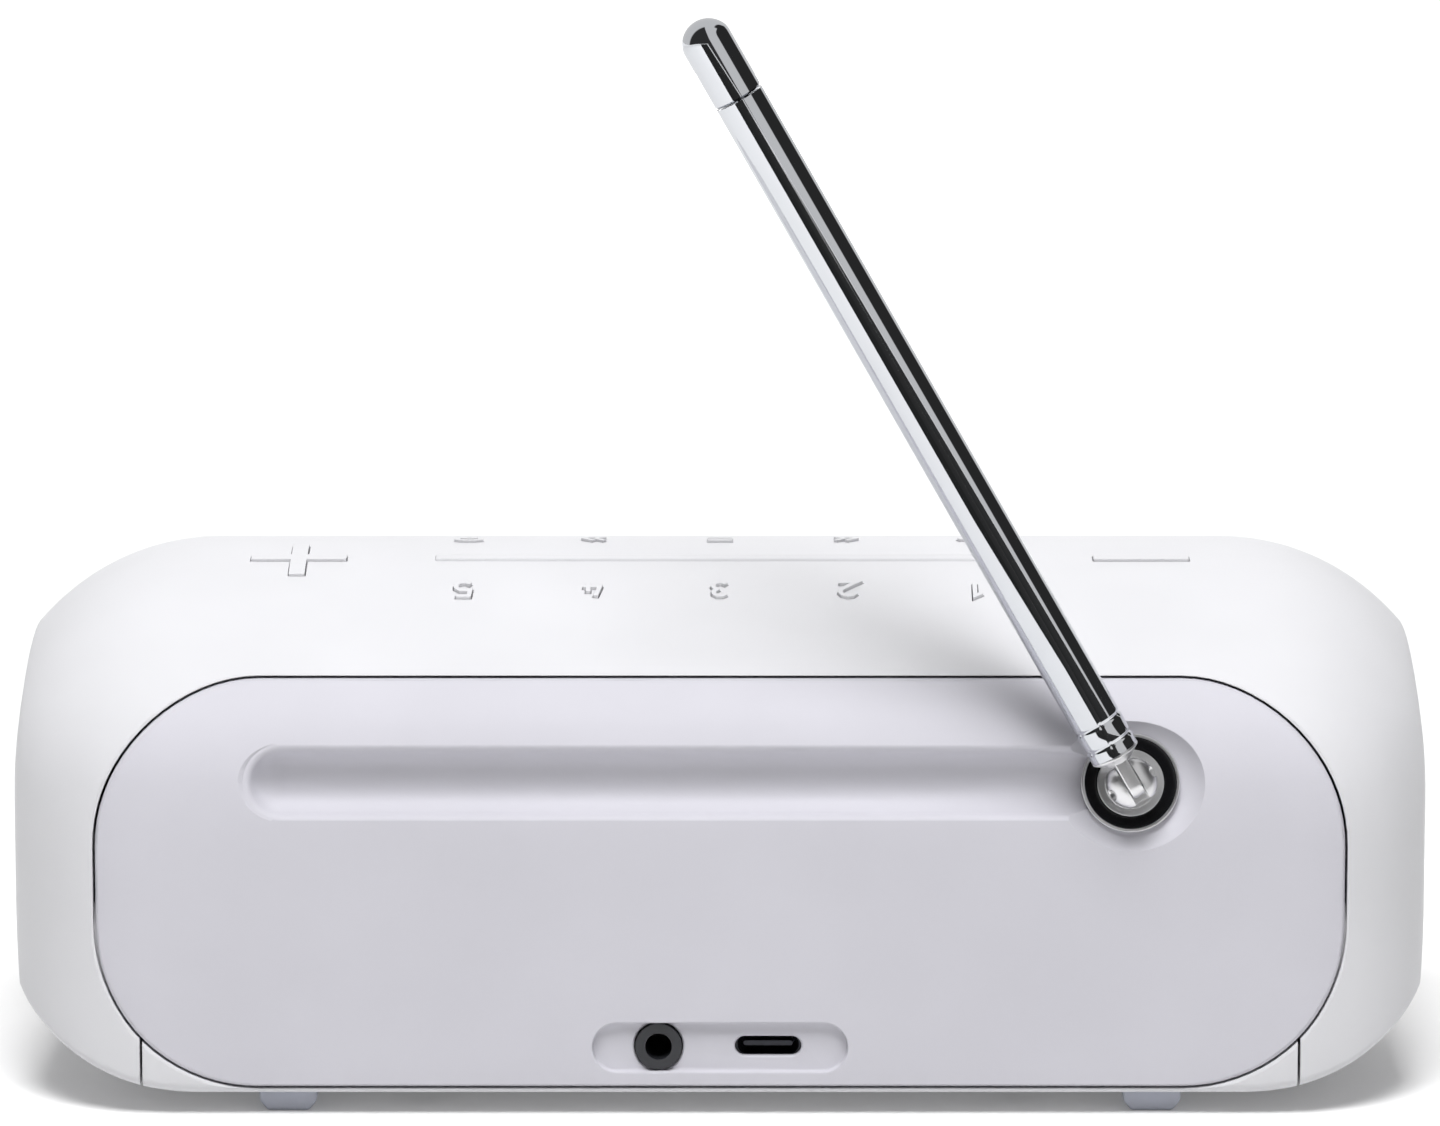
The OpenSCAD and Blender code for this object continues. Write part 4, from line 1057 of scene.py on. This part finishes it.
class RADIO_OT_pivot(bpy.types.Operator):
    """Turns the antenna's bezel, bush, swivel and hinge pin"""

    bl_idname = "radio.pivot"
    bl_label = "Antenna pivot"

    def execute(self, context):
        pivot, swivel = pivot_matrix(), swivel_matrix()
        floor, lift = -2.6, 2.1
        seat, crest = floor + 0.02, floor + 1
        ring = [(6.2, seat), (6.65, seat), (6.65, crest), (6.2, crest)]
        bezel = lathe("bezel_ring", eased(ring, 0.18), pivot, 128)
        place(smooth(bezel), "housing", finish("nickel_turned"), "antenna_bezel", "antenna_bezel")
        rim, well = floor + 0.9, floor + 0.35
        section = [(2.05, -5.4), (4.2, -5.4), (4.2, seat), (6.15, seat)]
        section += [(6.15, rim), (4.6, rim), (4.6, well), (2.05, well)]
        bush = lathe("bush", eased(section, 0.12, 3), pivot, 128)
        place(smooth(bush), "housing", finish("acetal_black_gloss"), "antenna_bush", "antenna_bush")

        under, over, brim = floor + 0.4, floor + 1.1, lift - 0.5
        disc = [(0, -6), (2, -6), (2, under), (4.5, under), (4.5, over), (3.4, over), (3.4, brim)]
        angles = np.radians(np.linspace(80, 10, 9))
        dome = [(3.4 * math.sin(a), brim + 2.2 * math.cos(a)) for a in angles]
        outline = eased(disc, 0.1, 3)[:-6] + [(3.4, brim)] + dome + [(0, lift + 1.7)]
        ears = lathe("clevis", outline, swivel, 128)
        for side in (-1, 1):
            flat = [(side * 2.8, -5), (side * 6, -5), (side * 6, 5), (side * 2.8, 5)]
            carve(ears, prism_z("flat", flat, floor + 1.12, 9, swivel))
        slot = [(-9, -1.05), (9, -1.05), (9, 1.05), (-9, 1.05)]
        carve(ears, prism_z("slot", slot, lift - 2.15, 9, swivel))
        cross = swivel @ Matrix.Translation((0, 0, lift * MM)) @ Matrix.Rotation(math.pi / 2, 4, "X")
        carve(ears, lathe("pin_bore", [(0, -9), (0.82, -9), (0.82, 9), (0, 9)], cross))
        carve(ears, lathe("screw_bore", [(0, -7), (1, -7), (1, -3.4), (0, -3.4)], swivel))
        nickel = finish("nickel_turned")
        smooth(bevelled(ears, 0.14, 35, 3), None, 25)
        place(ears, "swivel", nickel, "antenna_swivel", "antenna_swivel")
        pin = lathe("hinge_pin", eased([(0, -2.8), (0.78, -2.8), (0.78, 2.8), (0, 2.8)], 0.2), cross, 48)
        place(smooth(pin), "swivel", nickel, "antenna_hinge_pin", "antenna_hinge_pin")
        dress(finish("steel_zinc"), "antenna_wave_washer", "antenna_retaining_screw")
        return {"FINISHED"}


class RADIO_OT_antenna(bpy.types.Operator):
    """Draws the antenna's foot, its four tubes, its rod and its cap"""

    bl_idname = "radio.antenna"
    bl_label = "Antenna"

    def execute(self, context):
        along, r = antenna_matrix(), details().antenna / MM
        chrome, wall, gap, start, end, tip = finish("chrome_polished"), 0.45, 0.05, 5.0, 106.4, 118.0
        step, inner, plug = start - 0.02, r - wall - 0.05, start + 3
        section = [(0, start - 1.6), (1.7, start - 1.6), (r - 0.1, start - 0.42), (r, start - 0.34)]
        section += [(r, step), (inner, step), (inner, plug), (0, plug)]
        foot = lathe("ferrule", eased(section, 0.1, 3), along, 128)
        eye = [(2 * math.cos(a), 2 * math.sin(a)) for a in np.radians(np.linspace(0, -180, 25))]
        eye = [(x, z) for x, z in eye] + [(-2, start - 1), (2, start - 1)]
        faces = [[(x, y, z) for x, z in eye] for y in (0, 1.9)]
        tongue = bridge("tongue", faces, along @ self.sideways())
        tongue = bevelled(tongue, 0.2, 40, 3)
        carve(foot, tongue, "UNION")
        across = along @ Matrix.Rotation(math.pi / 2, 4, "Y")
        carve(foot, lathe("eye_bore", [(0, -9), (0.85, -9), (0.85, 9), (0, 9)], across))
        place(smooth(foot, None, 35), "antenna_arm", finish("nickel_turned"), "antenna_foot", "antenna_foot")

        outer, rings = [(r, start)], (6.7, 9.7)
        for ring in rings:
            for u in np.linspace(-1, 1, 9):
                outer.append((r - 0.22 * math.cos(u * math.pi / 2) ** 2, ring + u * 0.45))
        outer += [(r, end)]
        tube = lathe("tube_1", outer + [(r - wall, end), (r - wall, start)], along, 192)
        ball = [(0.8 * math.sin(a), -0.8 * math.cos(a)) for a in np.radians(np.linspace(15, 165, 11))]
        ball = [(0, -0.8)] + ball + [(0, 0.8)]
        for ring in rings:
            for k in range(6):
                turn = Matrix.Rotation(math.radians(60 * k + 30), 4, "Z")
                spot = along @ turn @ Matrix.Translation(((r + 0.55) * MM, 0, ring * MM))
                carve(tube, lathe("crimp", ball, spot, 24))
        place(smooth(tube, None, 30), "antenna_arm", chrome, "antenna_tube_1", "antenna_tube_1")
        for i in (2, 3, 4):
            outer_r = r - (i - 1) * (wall + gap)
            low = start + 3 + i * 0.6
            section = [(outer_r - wall, low), (outer_r, low), (outer_r, end), (outer_r - wall, end)]
            tube = lathe(f"tube_{i}", eased(section, 0.1, 3), along, 128)
            place(smooth(tube), f"section_{i}", chrome, f"antenna_tube_{i}", f"antenna_tube_{i}")
        rod_r = r - 4 * (wall + gap)
        section = [(0, start + 6), (rod_r, start + 6), (rod_r, end + 3), (0, end + 3)]
        rod = lathe("core_rod", eased(section, 0.2), along, 96)
        place(smooth(rod), "antenna_tip", chrome, "antenna_rod", "antenna_rod")
        dome = 2.6
        ball_r = (r * r + dome * dome) / (2 * dome)
        base_z = tip - dome
        angles = np.linspace(math.asin(r / ball_r) * 0.93, 0.06, 14)
        over = [(ball_r * math.sin(a), tip - ball_r + ball_r * math.cos(a)) for a in angles]
        section = [(rod_r, end + 0.2), (r - 0.25, end + 0.2), (r, end + 0.45)]
        section += [(r, base_z - 0.35), (r - 0.03, base_z - 0.1), *over]
        section += [(0, tip), (0, end + 3), (rod_r, end + 3)]
        cap = lathe("tip_cap", section, along, 128)
        place(smooth(cap, None, 40), "antenna_tip", chrome, "antenna_cap", "antenna_cap")
        return {"FINISHED"}

    def sideways(self):
        """Centres the tongue's thickness on the antenna's axis, across the hinge pin."""
        return Matrix.Rotation(math.pi / 2, 4, "Z") @ Matrix.Translation((0, -0.95 * MM, 0))


class RADIO_OT_speakers(bpy.types.Operator):
    """Finishes the driver and the passive radiator"""

    bl_idname = "radio.speakers"
    bl_label = "Speakers"

    def execute(self, context):
        dress(finish("steel_dark_plated"), "driver_frame")
        dress(finish("rubber_grey_matte"), "driver_surround", "radiator_surround")
        dress(finish("paper_cone"), "driver_cone")
        dress(finish("ferrite_ground"), "driver_magnet")
        dress(finish("abs_graphite"), "radiator_frame", "radiator_plate")
        return {"FINISHED"}


class RADIO_OT_inside(bpy.types.Operator):
    """Finishes the deck, the boards, the battery and the leads"""

    bl_idname = "radio.inside"
    bl_label = "Inside"

    def execute(self, context):
        dress(finish("abs_graphite"), "deck_frame", "battery_cradle")
        dress(finish("solder_mask_green"), "main_board")
        dress(finish("tinplate"), "tuner_shield")
        dress(finish("sleeve_blue"), "battery_cell")
        dress(finish("pvc_red"), "speaker_lead", "battery_lead")
        dress(finish("pvc_black"), "antenna_lead")
        return {"FINISHED"}


class RADIO_OT_stage(bpy.types.Operator):
    """Lays the floor, hangs the soft lights and sets the camera"""

    bl_idname = "radio.stage"
    bl_label = "Stage"

    def execute(self, context):
        scene = context.scene
        scene.view_settings.view_transform = "Standard"
        half = 9000
        corners = [(-half, -half, 0), (half, -half, 0), (half, half, 0), (-half, half, 0)]
        floor = solid("floor", corners, [(0, 1, 2, 3)])
        material, tree, shader, where = blank("floor_white")
        paper = noise(tree, where, 3)
        tint(tree, shader, (paper, "Fac"), linear("#DEDEDE"), 0.002)
        shader.inputs["Roughness"].default_value = 0.9
        shader.inputs["Specular IOR Level"].default_value = 0.1
        shader.inputs["Emission Color"].default_value = (1, 1, 1, 1)
        away = add(tree, "ShaderNodeVectorMath", {0: (where, "Object")}, operation="LENGTH")
        spread(tree, shader, (away, "Value"), "Emission Strength", 0.12, 0.9, 0.3, 2.2)
        floor.data.materials.append(material)
        self.sky(scene)
        self.light("key_box", (0.03, 0.55, 1.18), (0, 0, 0.03), 0.6, 22.0)
        self.light("back_box", (0, -1.5, 1.5), (0, -1.5, 0), 1.2, 7.0)
        self.light("front_fill", (0, -1.5, 0.3), (0, 0, 0.05), 1.0, 10.0)
        self.flag()
        data = bpy.data.cameras.new("camera")
        camera = bpy.data.objects.new("camera", data)
        scene.collection.objects.link(camera)
        data.lens, data.sensor_width = 179.0, 36.0
        data.clip_start, data.clip_end = 0.05, 60
        camera.location = Vector((0, 0.9816, 0.2248))
        aim = Vector((0, 0, 0.0696)) - camera.location
        camera.rotation_euler = aim.to_track_quat("-Z", "Y").to_euler()
        scene.camera = camera
        return {"FINISHED"}

    def light(self, name, spot, target, size, power):
        """A square soft box that faces its target."""
        data = bpy.data.lights.new(name, "AREA")
        data.shape, data.size, data.energy = "SQUARE", size, power
        lamp = bpy.data.objects.new(name, data)
        lamp.visible_glossy = False
        lamp.location = Vector(spot)
        lamp.rotation_euler = (Vector(target) - lamp.location).to_track_quat("-Z", "Y").to_euler()
        bpy.context.scene.collection.objects.link(lamp)

    def sky(self, scene):
        """A pale room, dark on one side of a slanted light strip, which polished metal shows as bands."""
        world = bpy.data.worlds.new("room")
        world.use_nodes = True
        scene.world = world
        tree = world.node_tree
        where = add(tree, "ShaderNodeTexCoord")
        part = add(tree, "ShaderNodeSeparateXYZ", {"Vector": (where, "Generated")})
        slant = add(tree, "ShaderNodeVectorMath", {0: (where, "Generated")}, operation="DOT_PRODUCT")
        slant.inputs[1].default_value = (-0.868, 0.0, 0.496)
        level = add(tree, "ShaderNodeMapRange", {"Value": (slant, "Value")}, From_Min=-1.0, From_Max=1.0)
        bands = ((0.0, 0.04), (0.645, 0.04), (0.655, 0.74), (0.915, 0.74), (0.925, 0.03), (1.0, 0.03))
        near = self.strips(tree, level, bands)
        rear = self.strips(tree, level, ((0.0, 0.75), (0.86, 0.75), (0.88, 0.03), (1.0, 0.03)))
        side = add(tree, "ShaderNodeMapRange", {"Value": (part, "Y")}, From_Min=-0.05, From_Max=0.05)
        both = add(tree, "ShaderNodeMix", data_type="RGBA")
        for socket, (node, output) in ((0, (side, "Result")), (6, (rear, "Color")), (7, (near, "Color"))):
            tree.links.new(node.outputs[output], both.inputs[socket])
        background = tree.nodes["Background"]
        tree.links.new(both.outputs[2], background.inputs["Color"])
        plain = add(tree, "ShaderNodeBackground", Color=(1, 1, 1, 1), Strength=1.0)
        path = add(tree, "ShaderNodeLightPath")
        dim = add(tree, "ShaderNodeMapRange", {"Value": (path, "Is Diffuse Ray")}, To_Min=1.0, To_Max=0.5)
        tree.links.new(dim.outputs["Result"], background.inputs["Strength"])
        sources = {0: (path, "Is Camera Ray"), 1: (background, 0), 2: (plain, 0)}
        mix = add(tree, "ShaderNodeMixShader", sources)
        tree.links.new(mix.outputs[0], tree.nodes["World Output"].inputs["Surface"])

    def flag(self):
        """A dark card on the floor beside the camera, which only reflections in metal and plastic show."""
        pin, lean = Vector(joint("antenna_tilt")["pos_m"]), Vector(joint("section_2_slide")["axis"])
        foot = pin - lean * (pin.z / lean.z)
        edge = Vector((0.5, 0.835, 0))
        near, far, side = foot + edge * 0.15, foot + edge * 4, -4
        corners = [near, far, Vector((side, far.y, 0)), Vector((side, near.y, 0))]
        card = solid("dark_card", [(p.x / MM, p.y / MM, 0.5) for p in corners], [(0, 1, 2, 3)])
        material, tree, shader, where = blank("card_black")
        fibre = noise(tree, where, 2)
        tint(tree, shader, (fibre, "Fac"), linear("#141414"), 0.1)
        shader.inputs["Roughness"].default_value = 0.9
        card.data.materials.append(material)
        card.visible_camera = card.visible_diffuse = card.visible_shadow = False

    def strips(self, tree, level, stops):
        """Brightness in bands of even width, from (position, value) pairs."""
        node = add(tree, "ShaderNodeValToRGB", {"Fac": (level, "Result")})
        ramp = node.color_ramp
        ramp.elements[0].position, ramp.elements[0].color = stops[0][0], (stops[0][1],) * 3 + (1,)
        ramp.elements[1].position, ramp.elements[1].color = stops[-1][0], (stops[-1][1],) * 3 + (1,)
        for position, value in stops[1:-1]:
            ramp.elements.new(position).color = (value, value, value, 1)
        return node


PARTS = (
    RADIO_OT_stage,
    RADIO_OT_shells,
    RADIO_OT_rear_panel,
    RADIO_OT_front,
    RADIO_OT_keys,
    RADIO_OT_feet,
    RADIO_OT_sockets,
    RADIO_OT_pivot,
    RADIO_OT_antenna,
    RADIO_OT_speakers,
    RADIO_OT_inside,
)


class RADIO_PT_panel(bpy.types.Panel):
    """Lists the sizes, the colours and the steps that build the radio"""

    bl_idname = "RADIO_PT_panel"
    bl_label = "Tabletop radio"
    bl_space_type = "VIEW_3D"
    bl_region_type = "UI"
    bl_category = "Radio"

    def draw(self, context):
        for group in (context.scene.radio_body, context.scene.radio_details, context.scene.radio_finishes):
            for name in group.bl_rna.properties.keys():
                if name not in ("rna_type", "name"):
                    self.layout.prop(group, name)
        for part in PARTS:
            self.layout.operator(part.bl_idname)


CLASSES = (BodySizes, DetailSizes, Finishes, *PARTS, RADIO_PT_panel)


def register():
    for cls in CLASSES:
        bpy.utils.register_class(cls)
    bpy.types.Scene.radio_body = PointerProperty(type=BodySizes)
    bpy.types.Scene.radio_details = PointerProperty(type=DetailSizes)
    bpy.types.Scene.radio_finishes = PointerProperty(type=Finishes)


def unregister():
    del bpy.types.Scene.radio_finishes
    del bpy.types.Scene.radio_details
    del bpy.types.Scene.radio_body
    for cls in reversed(CLASSES):
        bpy.utils.unregister_class(cls)


def main():
    register()
    for part in PARTS:
        group, name = part.bl_idname.split(".")
        getattr(getattr(bpy.ops, group), name)()


if __name__ == "__main__":
    main()
